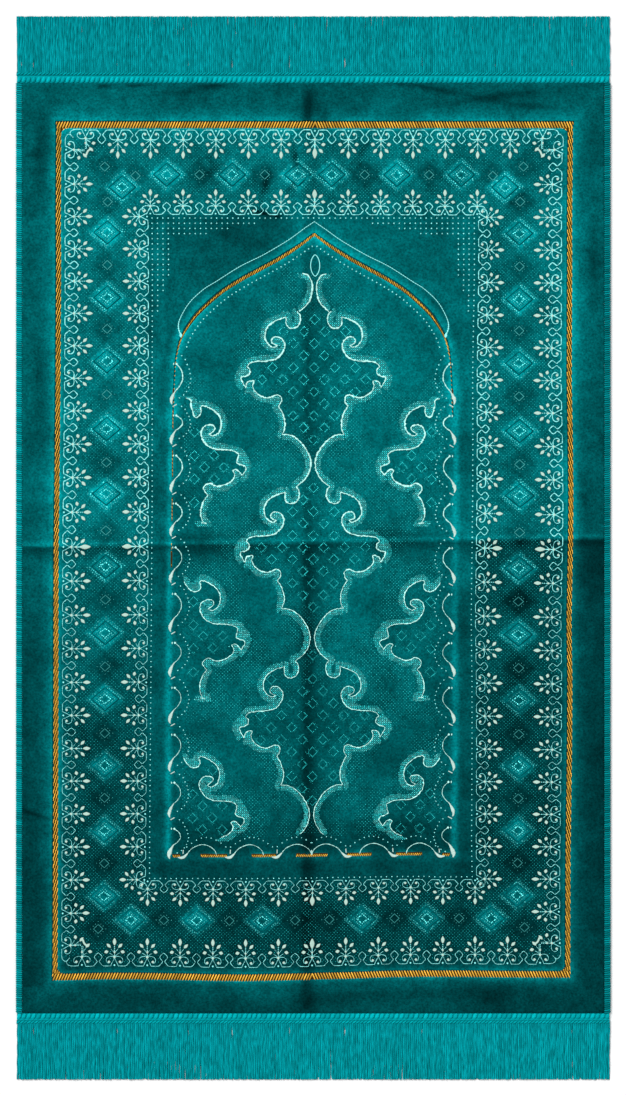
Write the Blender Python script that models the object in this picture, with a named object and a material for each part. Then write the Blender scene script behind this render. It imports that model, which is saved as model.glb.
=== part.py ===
"""Prayer rug lying flat: a velvet pile cloth with its two fold creases and the sunk flat-woven
bands of its border and niche, overlocked on all four edges, with a sewn-on fringe at each end.

Metres, +Z up. The rug lies on z = 0 with its centre at x = y = 0 and the point of its niche
towards +Y. "Head" is that end and "foot" the other one; "left" and "right" are as seen from
above with the head up.
"""

import math

import bpy
import bmesh
from mathutils import Vector

# Driving dimensions
RUG_WIDTH = 0.700            # over the side overlocking
RUG_LENGTH = 1.2524          # over both fringes
SIDE_OVERLOCK_WIDTH = 0.0075
END_OVERLOCK_WIDTH = 0.0082  # the row of fat slanting stitches over the cut end
HEADING_WIDTH = 0.0036       # the twined cord that the fringe yarns hang from
FRINGE_LENGTH = 0.0670
CLOTH_THICKNESS = 0.0036     # woven ground and pile together
FACE_GAP = 0.0003            # between neighbouring solids

CLOTH_WIDTH = RUG_WIDTH - 2 * (SIDE_OVERLOCK_WIDTH + FACE_GAP)
CLOTH_LENGTH = RUG_LENGTH - 2 * (FRINGE_LENGTH + HEADING_WIDTH + END_OVERLOCK_WIDTH + 2 * FACE_GAP)
HALF_WIDTH = CLOTH_WIDTH / 2
HALF_LENGTH = CLOTH_LENGTH / 2

# The two creases left by folding the rug in four. Each is a soft ridge, steeper on one side.
CREASE_HEIGHT = 0.0026
LENGTHWISE_CREASE = {"at": -0.0085, "slant": 0.0, "steep_side": 0.008, "long_side": 0.016}
CROSSWISE_CREASE = {"at": 0.0069, "slant": 0.0155, "steep_side": 0.008, "long_side": 0.014}
CREASE_FADE = 0.020          # it dies away this far before an edge, where the overlocking holds it
CREASE_STEPS = (-1.0, -0.5, 0.0, 0.33, 0.66, 1.0)  # grid lines across a ridge, in shares of its sides

# The flat-woven bands, which lie lower than the pile
BAND_DEPTH = 0.0010
BAND_LEAN = 0.0040           # the woven pattern leans this share of its length towards +X at the head
BORDER_BAND_WIDTH = 0.0080
BORDER_BAND_HALF_SIZE = (0.3013, 0.5013)  # to the band's middle
BORDER_BAND_SHIFT = (0.0004, -0.0036)     # of its centre from the rug's
NICHE_BAND_WIDTH = 0.0040
NICHE_HALF_WIDTH = 0.1670
NICHE_FOOT = -0.3645
# The right half of the ogee arch, from where it springs off the straight side to its point
NICHE_ARCH = (
    (0.1650, 0.170), (0.1638, 0.209), (0.1610, 0.228), (0.1552, 0.2466), (0.1450, 0.2643),
    (0.1328, 0.2784), (0.1095, 0.2996), (0.0863, 0.3155), (0.0627, 0.3284), (0.0393, 0.3414),
    (0.0157, 0.3567), (0.0, 0.3670),
)

# Overlocking and fringe
END_STITCHES = 121
END_STITCH_SLANT = 0.0022    # how far a stitch leans along its row
END_STITCH_CROWN = 0.0044    # height over a stitch
END_STITCH_DIP = 0.0032      # height between two stitches
SIDE_OVERLOCK_HEIGHT = 0.0040
HEADING_HEIGHT = 0.0030
FRINGE_YARNS = 150
YARN_SHARE = 0.84            # of the pitch that a yarn fills
YARN_HEIGHT = 0.0016
YARN_BEND_AT = 0.45          # of its length, where a yarn sways
YARN_SWAY = 0.0010
YARN_TIP_SHARE = 0.70        # of its width left at the tip
YARN_UNEVENNESS = 0.0014     # how much shorter the shortest yarns are

TEAL_PILE = ("teal_pile", (0.0015, 0.105, 0.115), 0.85)
TEAL_YARN = ("teal_yarn", (0.0020, 0.250, 0.285), 0.60)


def clear_scene():
    for obj in list(bpy.data.objects):
        bpy.data.objects.remove(obj)


def cloth_material(finish):
    name, colour, roughness = finish
    material = bpy.data.materials.get(name)
    if material is None:
        material = bpy.data.materials.new(name)
        material.use_nodes = True
        shader = material.node_tree.nodes["Principled BSDF"]
        shader.inputs["Base Color"].default_value = (*colour, 1.0)
        shader.inputs["Roughness"].default_value = roughness
        shader.inputs["Metallic"].default_value = 0.0
    return material


def object_from(name, bm, finish):
    bmesh.ops.recalc_face_normals(bm, faces=bm.faces)
    mesh = bpy.data.meshes.new(name)
    bm.to_mesh(mesh)
    bm.free()
    mesh.materials.append(cloth_material(finish))
    obj = bpy.data.objects.new(name, mesh)
    bpy.context.scene.collection.objects.link(obj)
    return obj


# ---- The pile cloth, its creases and its sunk bands ----

def smooth(t):
    t = min(1.0, max(0.0, t))
    return t * t * (3 - 2 * t)


def ridge(crease, across, along):
    """How high a crease stands at a signed distance across it, at a place along it."""
    distance = across - crease["at"] - crease["slant"] * along
    side = crease["steep_side"] if distance < 0 else crease["long_side"]
    return CREASE_HEIGHT * (1 - smooth(abs(distance) / side))


def lift(x, y):
    """Height of the underside. The lengthwise ridge is steep towards -X, the crosswise one towards +Y."""
    edge = min(HALF_WIDTH - abs(x), HALF_LENGTH - abs(y))
    lengthwise = ridge(LENGTHWISE_CREASE, x, y)
    mirrored = dict(CROSSWISE_CREASE, at=-CROSSWISE_CREASE["at"], slant=-CROSSWISE_CREASE["slant"])
    crosswise = ridge(mirrored, -y, x)
    return max(lengthwise, crosswise) * smooth(edge / CREASE_FADE)


def lines_across(crease, towards, half, plain_step):
    """Places of the grid lines across one direction: close together on the crease, wide apart elsewhere."""
    sides = {-1: crease["steep_side"], 1: crease["long_side"]}
    ridge_lines = [crease["at"] + towards * t * sides[1 if t > 0 else -1] for t in CREASE_STEPS]
    lines = {-half, half, -half + CREASE_FADE, half - CREASE_FADE, *ridge_lines}
    count = math.ceil(2 * half / plain_step)
    for i in range(1, count):
        place = -half + 2 * half * i / count
        if min(abs(place - line) for line in lines) > plain_step / 3:
            lines.add(place)
    return sorted(lines)


def around(rows):
    """The outer ring of a grid of points, in order."""
    left = [row[0] for row in rows[1:-1]]
    right = [row[-1] for row in rows[1:-1]]
    return [*rows[0], *right, *reversed(rows[-1]), *reversed(left)]


def make_pile_cloth():
    """A grid that leans with the crosswise crease and is lifted along both, as underside and as top."""
    xs = lines_across(LENGTHWISE_CREASE, 1, HALF_WIDTH, 0.075)
    ys = lines_across(CROSSWISE_CREASE, -1, HALF_LENGTH, 0.090)
    places = []
    for y in ys:
        lean = CROSSWISE_CREASE["slant"] * (1 - smooth(abs(y) / HALF_LENGTH))
        places.append([(x, y + lean * x) for x in xs])
    bm = bmesh.new()
    rings = []
    for height in (0.0, CLOTH_THICKNESS):
        rows = [[bm.verts.new((x, y, lift(x, y) + height)) for x, y in row] for row in places]
        for low, high in zip(rows, rows[1:]):
            for i in range(len(xs) - 1):
                bm.faces.new((low[i], low[i + 1], high[i + 1], high[i]))
        rings.append(around(rows))
    under, over = rings
    for i in range(len(under)):
        bm.faces.new((under[i - 1], under[i], over[i], over[i - 1]))
    return object_from("pile_cloth", bm, TEAL_PILE)


def spread_along(points, longest):
    """The closed line again, with extra points where two are further apart than the longest step."""
    line = []
    for a, b in zip(points, points[1:] + points[:1]):
        count = max(1, math.ceil(math.dist(a, b) / longest))
        line += [(a[0] + (b[0] - a[0]) * i / count, a[1] + (b[1] - a[1]) * i / count) for i in range(count)]
    return line


def offset_line(points, distance):
    """A closed line moved sideways by the distance, with mitred corners."""
    moved = []
    for before, here, after in zip(points[-1:] + points[:-1], points, points[1:] + points[:1]):
        a = (Vector(here) - Vector(before)).normalized()
        b = (Vector(after) - Vector(here)).normalized()
        mitre = (a + b).normalized()
        normal = Vector((mitre.y, -mitre.x))
        moved.append(Vector(here) + normal * distance / max(0.5, mitre.dot(a)))
    return moved


def cut_band(cloth, name, points, width):
    """Sinks a closed band of the given width into the top of the cloth, following its creases."""
    inner, outer = (offset_line(points, side * width / 2) for side in (-1, 1))
    floor = CLOTH_THICKNESS - BAND_DEPTH
    bm = bmesh.new()
    rings = []
    for line, height in ((inner, floor), (outer, floor), (outer, 2 * CLOTH_THICKNESS),
                         (inner, 2 * CLOTH_THICKNESS)):
        rings.append([bm.verts.new((p.x, p.y, lift(p.x, p.y) + height)) for p in line])
    count = len(points)
    for ring, following in zip(rings, rings[1:] + rings[:1]):
        for i in range(count):
            j = (i + 1) % count
            bm.faces.new((ring[i], ring[j], following[j], following[i]))
    cutter = object_from(name, bm, TEAL_PILE)
    cutter.hide_render = True
    cutter.display_type = "WIRE"
    cut = cloth.modifiers.new(name, "BOOLEAN")
    cut.operation = "DIFFERENCE"
    cut.object = cutter


def leaning(points):
    return [(x + BAND_LEAN * y, y) for x, y in points]


def border_band_line():
    half_x, half_y = BORDER_BAND_HALF_SIZE
    shift_x, shift_y = BORDER_BAND_SHIFT
    corners = [(-half_x, -half_y), (half_x, -half_y), (half_x, half_y), (-half_x, half_y)]
    return leaning([(x + shift_x, y + shift_y) for x, y in corners])


def niche_line():
    """The closed outline of the niche: across its foot, up the right side, over the arch and down."""
    right = list(NICHE_ARCH)
    left = [(-x, y) for x, y in reversed(right[:-1])]
    return leaning([(-NICHE_HALF_WIDTH, NICHE_FOOT), (NICHE_HALF_WIDTH, NICHE_FOOT)] + right + left)


# ---- Overlocking ----

def sweep_sections(sections, closed_ends=True):
    """A bmesh through equal rings of points, one after the other, with its two ends filled."""
    bm = bmesh.new()
    rings = [[bm.verts.new(p) for p in section] for section in sections]
    count = len(rings[0])
    for ring, following in zip(rings, rings[1:]):
        for i in range(count):
            j = (i + 1) % count
            bm.faces.new((ring[i], ring[j], following[j], following[i]))
    if closed_ends:
        bm.faces.new(rings[0])
        bm.faces.new(rings[-1])
    return bm


def make_side_overlock(name, side):
    """The thread-wrapped edge along one side: a bar with a rounded outer face, past the cloth's edge."""
    inner = HALF_WIDTH + FACE_GAP
    outer = inner + SIDE_OVERLOCK_WIDTH
    middle = (inner + outer) / 2
    height = SIDE_OVERLOCK_HEIGHT
    profile = (
        (inner, 0.0), (inner, height - 0.0008), (middle - 0.0015, height),
        (middle + 0.0015, height - 0.0002), (outer - 0.0005, height * 0.70),
        (outer, height * 0.35), (outer - 0.0008, 0.0),
    )
    ends = (-HALF_LENGTH, HALF_LENGTH)
    sections = [[(side * x, y, z) for x, z in profile] for y in ends]
    return object_from(name, sweep_sections(sections), TEAL_YARN)


def make_end_overlock(name, end):
    """The row of fat slanting stitches over one cut end, as a bar whose top rises over each stitch."""
    near = HALF_LENGTH + FACE_GAP
    far = near + END_OVERLOCK_WIDTH
    profile = ((near, 0.0, -0.5), (near + 0.0016, 1.0, -0.2), (far - 0.0016, 1.0, 0.2), (far, 0.0, 0.5))
    length = RUG_WIDTH - 2 * END_STITCH_SLANT
    sections = []
    for i in range(2 * END_STITCHES + 1):
        middle = -length / 2 + length * i / (2 * END_STITCHES)
        height = END_STITCH_CROWN if i % 2 else END_STITCH_DIP
        sections.append([(middle + lean * END_STITCH_SLANT, end * y, share * height)
                         for y, share, lean in profile])
    return object_from(name, sweep_sections(sections), TEAL_YARN)


# ---- Fringe ----

def uneven(i, step):
    """A number from -1 to 1 for yarn i: a slow wave where the step is small, and ragged where it is large."""
    return math.sin(i * step) * math.cos(i * step * 0.37 + 1.0)


def make_fringe(name, end):
    """The heading cord with its yarns, which lie on the floor and stand apart but for their roots."""
    inner = HALF_LENGTH + 2 * FACE_GAP + END_OVERLOCK_WIDTH
    outer = inner + HEADING_WIDTH
    half = RUG_WIDTH / 2
    pitch = RUG_WIDTH / FRINGE_YARNS
    yarn = pitch * YARN_SHARE
    bm = bmesh.new()

    roots = []
    for i in range(FRINGE_YARNS):
        middle = -half + pitch * (i + 0.5)
        sides = (middle - yarn / 2, middle + yarn / 2)
        roots.append([[bm.verts.new((x, end * outer, z)) for x in sides] for z in (0.0, YARN_HEIGHT)])
    back = [[bm.verts.new((x, end * inner, z)) for x in (-half, half)] for z in (0.0, HEADING_HEIGHT)]
    crest = [bm.verts.new((x, end * outer, HEADING_HEIGHT)) for x in (-half, half)]
    ends = [bm.verts.new((x, end * outer, 0.0)) for x in (-half, half)]

    low = [v for root in roots for v in root[0]]
    bm.faces.new([back[0][0], back[0][1], ends[1], *reversed(low), ends[0]])
    bm.faces.new([back[1][0], back[1][1], crest[1], crest[0]])
    bm.faces.new([back[0][0], back[0][1], back[1][1], back[1][0]])
    for corner in (0, 1):
        bm.faces.new([back[0][corner], back[1][corner], crest[corner], ends[corner]])
    front = [ends[0]]
    for low_pair, high_pair in roots:
        front += [low_pair[0], high_pair[0], high_pair[1], low_pair[1]]
    bm.faces.new([*front, ends[1], crest[1], crest[0]])

    for i, (low_pair, high_pair) in enumerate(roots):
        ring = [low_pair[0], low_pair[1], high_pair[1], high_pair[0]]
        middle = sum(v.co.x for v in low_pair) / 2
        length = FRINGE_LENGTH - YARN_UNEVENNESS * abs(uneven(i, 2.3))
        room = pitch * (1 - YARN_SHARE) * 0.4
        sway = YARN_SWAY * uneven(i, 0.31)
        stations = ((YARN_BEND_AT, sway, 1.0), (1.0, sway + room * uneven(i, 5.1), YARN_TIP_SHARE))
        for share, shift, width in stations:
            y = end * (outer + length * share)
            limit = half - yarn * width / 2
            x = max(-limit, min(limit, middle + shift))
            spread = ((-1, 0.0), (1, 0.0), (1, YARN_HEIGHT * width), (-1, YARN_HEIGHT * width))
            following = [bm.verts.new((x + side * yarn * width / 2, y, z)) for side, z in spread]
            for a in range(4):
                b = (a + 1) % 4
                bm.faces.new((ring[a], ring[b], following[b], following[a]))
            ring = following
        bm.faces.new(ring)
    return object_from(name, bm, TEAL_YARN)


clear_scene()
pile_cloth = make_pile_cloth()
cut_band(pile_cloth, "border_band_cutter", spread_along(border_band_line(), 0.012), BORDER_BAND_WIDTH)
cut_band(pile_cloth, "niche_band_cutter", spread_along(niche_line(), 0.020), NICHE_BAND_WIDTH)
make_side_overlock("side_overlock_left", -1)
make_side_overlock("side_overlock_right", 1)
for end_name, towards in (("head", 1), ("foot", -1)):
    make_end_overlock("end_overlock_" + end_name, towards)
    make_fringe("fringe_" + end_name, towards)
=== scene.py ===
"""Prayer rug lying flat on a pale floor: a teal velvet cloth whose border and niche are woven into it in
cream, light teal and gold yarn, overlocked on all four edges and fringed at both ends.

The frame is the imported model's: metres, +Z up, the rug's middle at x = y = 0 and the point of its niche
towards +Y, which is the head. "Left" and "right" are as seen from above with the head up. Places and sizes
are in millimetres, and each piece turns them into metres as it is made.
"""

import math

import bpy
import numpy as np
from mathutils.geometry import delaunay_2d_cdt
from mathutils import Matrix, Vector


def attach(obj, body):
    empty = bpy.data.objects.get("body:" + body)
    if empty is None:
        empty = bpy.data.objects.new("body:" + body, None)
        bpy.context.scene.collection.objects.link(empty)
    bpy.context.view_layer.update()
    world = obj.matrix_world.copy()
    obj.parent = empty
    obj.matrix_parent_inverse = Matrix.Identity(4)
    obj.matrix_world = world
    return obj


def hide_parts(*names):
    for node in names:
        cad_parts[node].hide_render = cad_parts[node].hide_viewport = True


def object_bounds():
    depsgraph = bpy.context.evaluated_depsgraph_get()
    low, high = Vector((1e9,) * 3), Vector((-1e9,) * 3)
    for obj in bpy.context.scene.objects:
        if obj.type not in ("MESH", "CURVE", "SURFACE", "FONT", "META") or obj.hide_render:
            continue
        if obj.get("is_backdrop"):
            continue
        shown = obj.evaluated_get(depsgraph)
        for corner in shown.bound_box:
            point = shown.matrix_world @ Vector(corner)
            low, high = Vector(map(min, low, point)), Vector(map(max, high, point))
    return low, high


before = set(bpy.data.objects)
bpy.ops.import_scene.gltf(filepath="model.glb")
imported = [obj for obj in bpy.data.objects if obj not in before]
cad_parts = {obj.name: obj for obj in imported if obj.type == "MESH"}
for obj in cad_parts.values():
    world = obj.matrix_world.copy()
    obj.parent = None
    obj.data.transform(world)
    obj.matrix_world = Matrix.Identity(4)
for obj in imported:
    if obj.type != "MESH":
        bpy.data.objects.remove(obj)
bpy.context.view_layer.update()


# ---- The velvet cloth ----
# One cloth of cut teal pile on a flat-woven ground. Where it is brushed or pressed the pile leans another way
# and looks lighter or darker, and folding in four has left a lengthwise and a crosswise crease.

MM = 0.001
CLOTH_HALF = (342.2, 546.8)
CLOTH_THICKNESS = 3.6
CREASE_HEIGHT = 2.6
LENGTHWISE_CREASE = {"at": -8.5, "slant": 0.0, "steep_side": 8.0, "long_side": 16.0}
CROSSWISE_CREASE = {"at": -6.9, "slant": -0.0155, "steep_side": 8.0, "long_side": 14.0}
CREASE_FADE = 20.0
BAND_DEPTH = 1.0
BORDER_BAND = {"left": -300.9, "right": 301.8, "foot": -505.0, "head": 497.4, "width": 8.6, "side_width": 7.1,
               "inner_corner": 6.5}
ARCH = ((-165.4, 158.0), (-164.6, 185.0), (-163.7, 209.0), (-161.5, 227.8), (-156.1, 247.0),
        (-145.6, 264.8), (-133.8, 279.0), (-110.1, 300.0), (-86.3, 315.5), (-62.7, 328.4), (-39.3, 341.4),
        (-15.7, 356.7), (0.0, 368.5))
ARCH_BAND_WIDTH = 5.7
NICHE_HALF_WIDTH = 168.3
NICHE_FOOT = -362.9
PILE_SPACING = (3.2, 2.85)
BACK_SPACING = 14.0

chance = np.random.default_rng(1907)


def smooth(t):
    t = np.clip(t, 0.0, 1.0)
    return t * t * (3 - 2 * t)


def ridge(crease, across, along):
    """How high a crease stands at a signed distance across it, at a place along it."""
    distance = across - crease["at"] - crease["slant"] * along
    side = np.where(distance < 0, crease["steep_side"], crease["long_side"])
    return CREASE_HEIGHT * (1 - smooth(np.abs(distance) / side))


def cloth_lift(x, y):
    """Height of the underside: the cloth is on the floor except along its two creases."""
    edge = np.minimum(CLOTH_HALF[0] - np.abs(x), CLOTH_HALF[1] - np.abs(y))
    highest = np.maximum(ridge(LENGTHWISE_CREASE, x, y), ridge(CROSSWISE_CREASE, -y, x))
    return highest * smooth(edge / CREASE_FADE)


def pile_top(x, y):
    """Height of the pile's face, with the faint ripples of a cloth that isn't pulled tight."""
    ripple = 0.16 * np.sin(x / 37 + 1.3 * np.sin(y / 83)) * np.sin(y / 51 + 0.8)
    edge = np.minimum(CLOTH_HALF[0] - np.abs(x), CLOTH_HALF[1] - np.abs(y))
    return cloth_lift(x, y) + CLOTH_THICKNESS + ripple * smooth(edge / 30)


# How the cloth strays from the straight design, as measured on the photo in even steps: each half sways
# across, and the foot's lines rise unevenly
SWAY_AT = (-480, -368, -227, -156, -85, -15, 56, 126, 197, 338, 479)
LEFT_SWAY = (-1.1, -1.2, -1.3, -1.3, -1.2, -0.8, -0.2, -0.2, -0.2, -0.2, -0.1)
RIGHT_SWAY = (-0.8, -1.0, 0.3, 0.3, -1.2, -0.3, 0.2, -0.5, -1.9, -1.8, -1.0)
FOOT_AT = (-290, -245, -205, -163, -121, -78, -36, 6, 49, 91, 133, 176, 218, 260, 300)
FOOT_RISE = (0.3, 1.4, 1.3, 0.8, -0.3, -0.8, 0.0, 1.2, 2.1, 3.7, 4.2, 4.2, 3.6, 3.4, 3.3)
# About the rug's middle the ring's inner lines bow inwards and its outer lines outwards, the niche's right
# half is drawn to the left, and the scrolls and the ring's inner lines lie higher. Places across, and how far
# there
INNER_PULL = ((-250, 0.0), (-208, 1.9), (-165, 0.0), (175, 0.0), (208, -3.6), (250, 0.0))
OUTER_BOW = ((-303, -1.0), (-276, -1.5), (-230, 0.0), (230, 0.0), (278, 1.4), (303, 0.5))
NICHE_PULL = ((-80, 0.0), (50, -1.7), (94, -1.4), (118, -2.2), (175, -2.0), (205, 0.0))
NICHE_LIFT = ((-160, 0.0), (-132, 2.2), (-50, 2.7), (50, 3.0), (132, 2.4), (148, 0.0))
RING_LIFT = ((-276, 0.3), (-208, 1.3), (-175, 0.0), (140, 0.0), (150, -0.9), (165, -0.9), (190, 1.1),
             (208, 1.3), (276, 0.1))


def value_of(profile, x):
    """The value at x of a profile, which is given as a few places across the rug and the values there."""
    places, values = zip(*profile)
    return np.interp(x, places, values)


def about(y, middle, reach):
    """1 at the middle place, and less and less beyond it on both sides."""
    return np.exp(-(((y - middle) / reach) ** 2))


def stray(x, y):
    """How far the cloth carries a place of the straight design along and up."""
    sway = np.where(x < 0, np.interp(y, SWAY_AT, LEFT_SWAY), np.interp(y, SWAY_AT, RIGHT_SWAY))
    along = 0.4 + 0.0040 * y + sway * np.abs(x) / 300 - 0.6 * smooth((y - 330) / 60)
    along = along + value_of(INNER_PULL, x) * about(y, -50, 230)
    along = along + value_of(OUTER_BOW, x) * about(y, 30, 125)
    along = along + value_of(NICHE_PULL, x) * smooth((330 - y) / 120) * smooth((y + 400) / 60)
    low = np.clip(-y / 500, 0, 1.1)
    lean = 3.0 * np.clip(x / 300, 0, None)
    rise = lean * low + (np.interp(x, FOOT_AT, FOOT_RISE) - lean) * low ** 3
    rise = rise + value_of(NICHE_LIFT, x) * about(y, -150, 200)
    return along, rise + value_of(RING_LIFT, x) * about(y, -20, 260)


def laid(places):
    """Where places of the straight design lie on the rug."""
    places = np.asarray(places, float)
    along, rise = stray(places[..., 0], places[..., 1])
    return np.stack([places[..., 0] + along, places[..., 1] + rise], axis=-1)


def straightened(x, y):
    """The place of the straight design that lies at x, y on the rug."""
    sx, sy = x, y
    for _ in range(3):
        along, rise = stray(sx, sy)
        sx, sy = x - along, y - rise
    return sx, sy


def curve_through(points, step=1.6):
    """A smooth line through given points, as points about one step apart."""
    p = np.asarray(points, float)
    p = np.vstack([2 * p[0] - p[1], p, 2 * p[-1] - p[-2]])
    line = []
    for a, b, c, d in zip(p, p[1:], p[2:], p[3:]):
        count = max(1, math.ceil(np.hypot(*(c - b)) / step))
        t = (np.arange(count) / count)[:, None]
        line.append(0.5 * (2 * b + (c - a) * t + (2 * a - 5 * b + 4 * c - d) * t**2
                           + (3 * b - a - 3 * c + d) * t**3))
    return np.vstack([*line, p[-2]])


def mirrored(points):
    return np.asarray(points, float) * (-1, 1)


def distance_to(line, x, y):
    """Distance from each x, y to a line of points, and its side: above 0 on the left of the line."""
    x, y = np.asarray(x, float), np.asarray(y, float)
    nearest, side = np.full(x.shape, 1e9), np.zeros(x.shape)
    for (ax, ay), (bx, by) in zip(line[:-1], line[1:]):
        dx, dy = bx - ax, by - ay
        t = np.clip(((x - ax) * dx + (y - ay) * dy) / (dx * dx + dy * dy + 1e-9), 0, 1)
        away = np.hypot(x - ax - t * dx, y - ay - t * dy)
        closer = away < nearest
        nearest = np.where(closer, away, nearest)
        side = np.where(closer, dx * (y - ay) - dy * (x - ax), side)
    return nearest, side


arch_left = curve_through(ARCH, 3.4)
arch_line = np.vstack([arch_left, mirrored(arch_left[-2::-1])])


def from_border_band(x, y):
    """How far straight places lie outside the gold border band and inside it: both are below 0 in it."""
    band = BORDER_BAND
    half_x, half_y, radius = band["side_width"] / 2, band["width"] / 2, band["inner_corner"]
    dx = np.abs(x - (band["right"] + band["left"]) / 2) - (band["right"] - band["left"]) / 2
    dy = np.abs(y - (band["head"] + band["foot"]) / 2) - (band["head"] - band["foot"]) / 2
    qx, qy = dx + half_x + radius, dy + half_y + radius
    rounded = np.hypot(np.clip(qx, 0, None), np.clip(qy, 0, None))
    rounded = rounded + np.minimum(np.maximum(qx, qy), 0) - radius
    return np.maximum(dx - half_x, dy - half_y), -rounded


def arch_half_width(y):
    """Half the gold arch band's width: full over the arch, thin where it meets the side and at the point."""
    return ARCH_BAND_WIDTH / 2 * (0.22 + 0.78 * smooth((y - 212) / 72)) * (1 - 0.30 * smooth((y - 346) / 20))


RING_PITCH = 39.14
ROW_PITCH = 38.5
RING_MIDDLE = (243.7, 440.4)


# Where every second row of the even repeat is really woven, from foot to head, fitted to places measured on
# the photo, and how far the end rows' flowers stray along
WOVEN_ROWS = (-509.0, -469.1, -391.4, -314.1, -237.4, -159.7, -80.8, -0.6, 81.1, 159.6, 236.2, 312.5,
              389.1, 466.0, 505.3)
EVEN_ROWS = np.array([-13.0, *range(-12, 13, 2), 13.0]) * RING_PITCH
STRAY_AT = (-293.0, -227.0, -107.0, -27.0, 20.0, 53.0, 93.0, 133.0, 213.0, 253.0, 293.0)
STRAY = (0.0, -0.35, -0.6, -0.95, 1.1, 1.5, 1.0, 0.4, -0.35, -0.5, 0.0)


def woven_at(places):
    """Where a place of the border's even repeat is really woven: it grows towards the rug's middle."""
    places = np.asarray(places, float)
    x, y = places[..., 0], places[..., 1]
    slope = -1.4 * np.clip((470 - np.abs(y)) / 190, 0, 1) * x / 293
    along = np.interp(x, STRAY_AT, STRAY) * np.clip((np.abs(y) - 380) / 10, 0, 1)
    return np.stack([x + along, np.interp(y, EVEN_ROWS, WOVEN_ROWS) + slope], axis=-1)


# How much higher than that each of the ring's side diamonds is woven, as measured on the photo
RING_RISE_AT = (-411, -254, -215, -176, -137, -98, -59, -20, 20, 59, 98, 137, 176, 215, 254, 293, 372)
RING_RISE = (1.2, 0.2, -0.6, 0.6, -0.3, -0.3, -1.0, -2.0, -0.1, 2.3, -1.0, -0.8, 1.2, 2.0, 2.0, 0.8, 1.4)


def ring_places(first_right, first_foot):
    """Middles of every second diamond of the border ring, for the given column and row numbers."""
    places = []
    for j in first_right:
        y = j * RING_PITCH
        y += np.interp(y, RING_RISE_AT, RING_RISE) - 1.0
        places += [(x, y) for x in (-RING_MIDDLE[0], RING_MIDDLE[0] - 1.4)]
    for head, j in first_foot:
        places.append((j * ROW_PITCH, head * RING_MIDDLE[1] + 1.6))
    return woven_at(places)


bright_diamonds = ring_places(
    [-0.5 - 2 * j for j in range(6)] + [1.5 + 2 * j for j in range(5)],
    [(1, s * j) for j in (0.5, 2.5, 4.5) for s in (-1, 1)]
    + [(-1, s * j) for j in (1.5, 3.5, 5.5) for s in (-1, 1)],
)
bright_diamonds = np.vstack([bright_diamonds, [(-226.0, 424.0), (225.0, 424.0)]])
dim_diamonds = ring_places(
    [0.5 + 2 * j for j in range(5)] + [-1.5 - 2 * j for j in range(5)],
    [(1, s * j) for j in (1.5, 3.5) for s in (-1, 1)]
    + [(-1, s * j) for j in (0.5, 2.5, 4.5) for s in (-1, 1)],
)
corner_dims = ((243.0, 407.0), (210.5, 437.5), (246.6, 448.3), (250.5, -449.0))
dim_diamonds = np.vstack([dim_diamonds, [(s * x, y) for x, y in corner_dims for s in (-1, 1)]])


def diamond_nearness(middles, x, y, reach):
    """1 in the middle of the nearest of some diamonds, falling evenly to 0 at the reach."""
    nearest = np.full(np.shape(x), 1e9)
    for mx, my in middles:
        nearest = np.minimum(nearest, np.abs(x - mx) / 1.06 + np.abs(y - my) / 0.95)
    return np.clip(1 - nearest / reach, 0, 1)


# Where the pile was pressed the other way, and painted shadow just below the head's overlock:
# x, y, half length, half width, turn in degrees, strength
PRESSED_MARKS_AND_SHADOWS = ((-21, 458, 13, 4, 100, 0.55), (-25, 425, 10, 3, 60, 0.35), (-60, 394, 12, 3, 165, 0.75),
           (-42, 390, 6, 3, 20, 0.55), (-56, 427, 16, 4, 75, 0.45), (-118, 443, 18, 6, 20, 0.30),
           (-6, 516, 20, 7, 80, 0.40), (-262, 471, 26, 9, 30, 0.25), (135, 541, 55, 3, 170, 0.35),
           (205, 529, 50, 4, 8, 0.35), (255, 520, 30, 3, 175, 0.25), (-270, -222, 3, 34, 12, 0.20),
           (-328, -313, 22, 2.5, 160, 0.45), (-120, 455, 14, 3, 120, 0.25), (60, 470, 12, 3, 60, 0.3),
           (12, 505, 8, 18, 0, 0.3), (318, 60, 10, 60, 4, 0.2), (-322, 205, 9, 70, 3, 0.22),
           (-318, 470, 10, 45, -5, 0.30), (330, 330, 7, 60, 0, 0.2), (-245, 543, 9, 2, 0, 0.5),
           (-117, 543, 18, 2.5, 2, 0.5), (-209, 544, 14, 1.8, 3, 0.4), (-150, 536, 40, 3, 4, 0.2),
           (-326, 463, 9, 6, 30, 0.3), (-180, -520, 90, 9, 0, 0.10), (150, -522, 110, 9, 2, 0.22),
           (100, 15, 70, 6, 178, 0.2), (-120, 12, 60, 5, 2, 0.15))


blotch_tables = {}


def blotches(x, y, size):
    """Soft random patches of about the given size, from -1 to 1, where the pile leans differently."""
    if size not in blotch_tables:
        blotch_tables[size] = chance.uniform(-1, 1, (int(760 / size) + 3, int(1300 / size) + 3))
    table = blotch_tables[size]
    u, v = (x + 380) / size, (y + 650) / size
    i, j = u.astype(int), v.astype(int)
    s, t = smooth(u - i), smooth(v - j)
    near = table[i, j] * (1 - s) + table[i + 1, j] * s
    return near * (1 - t) + (table[i, j + 1] * (1 - s) + table[i + 1, j + 1] * s) * t


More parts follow.
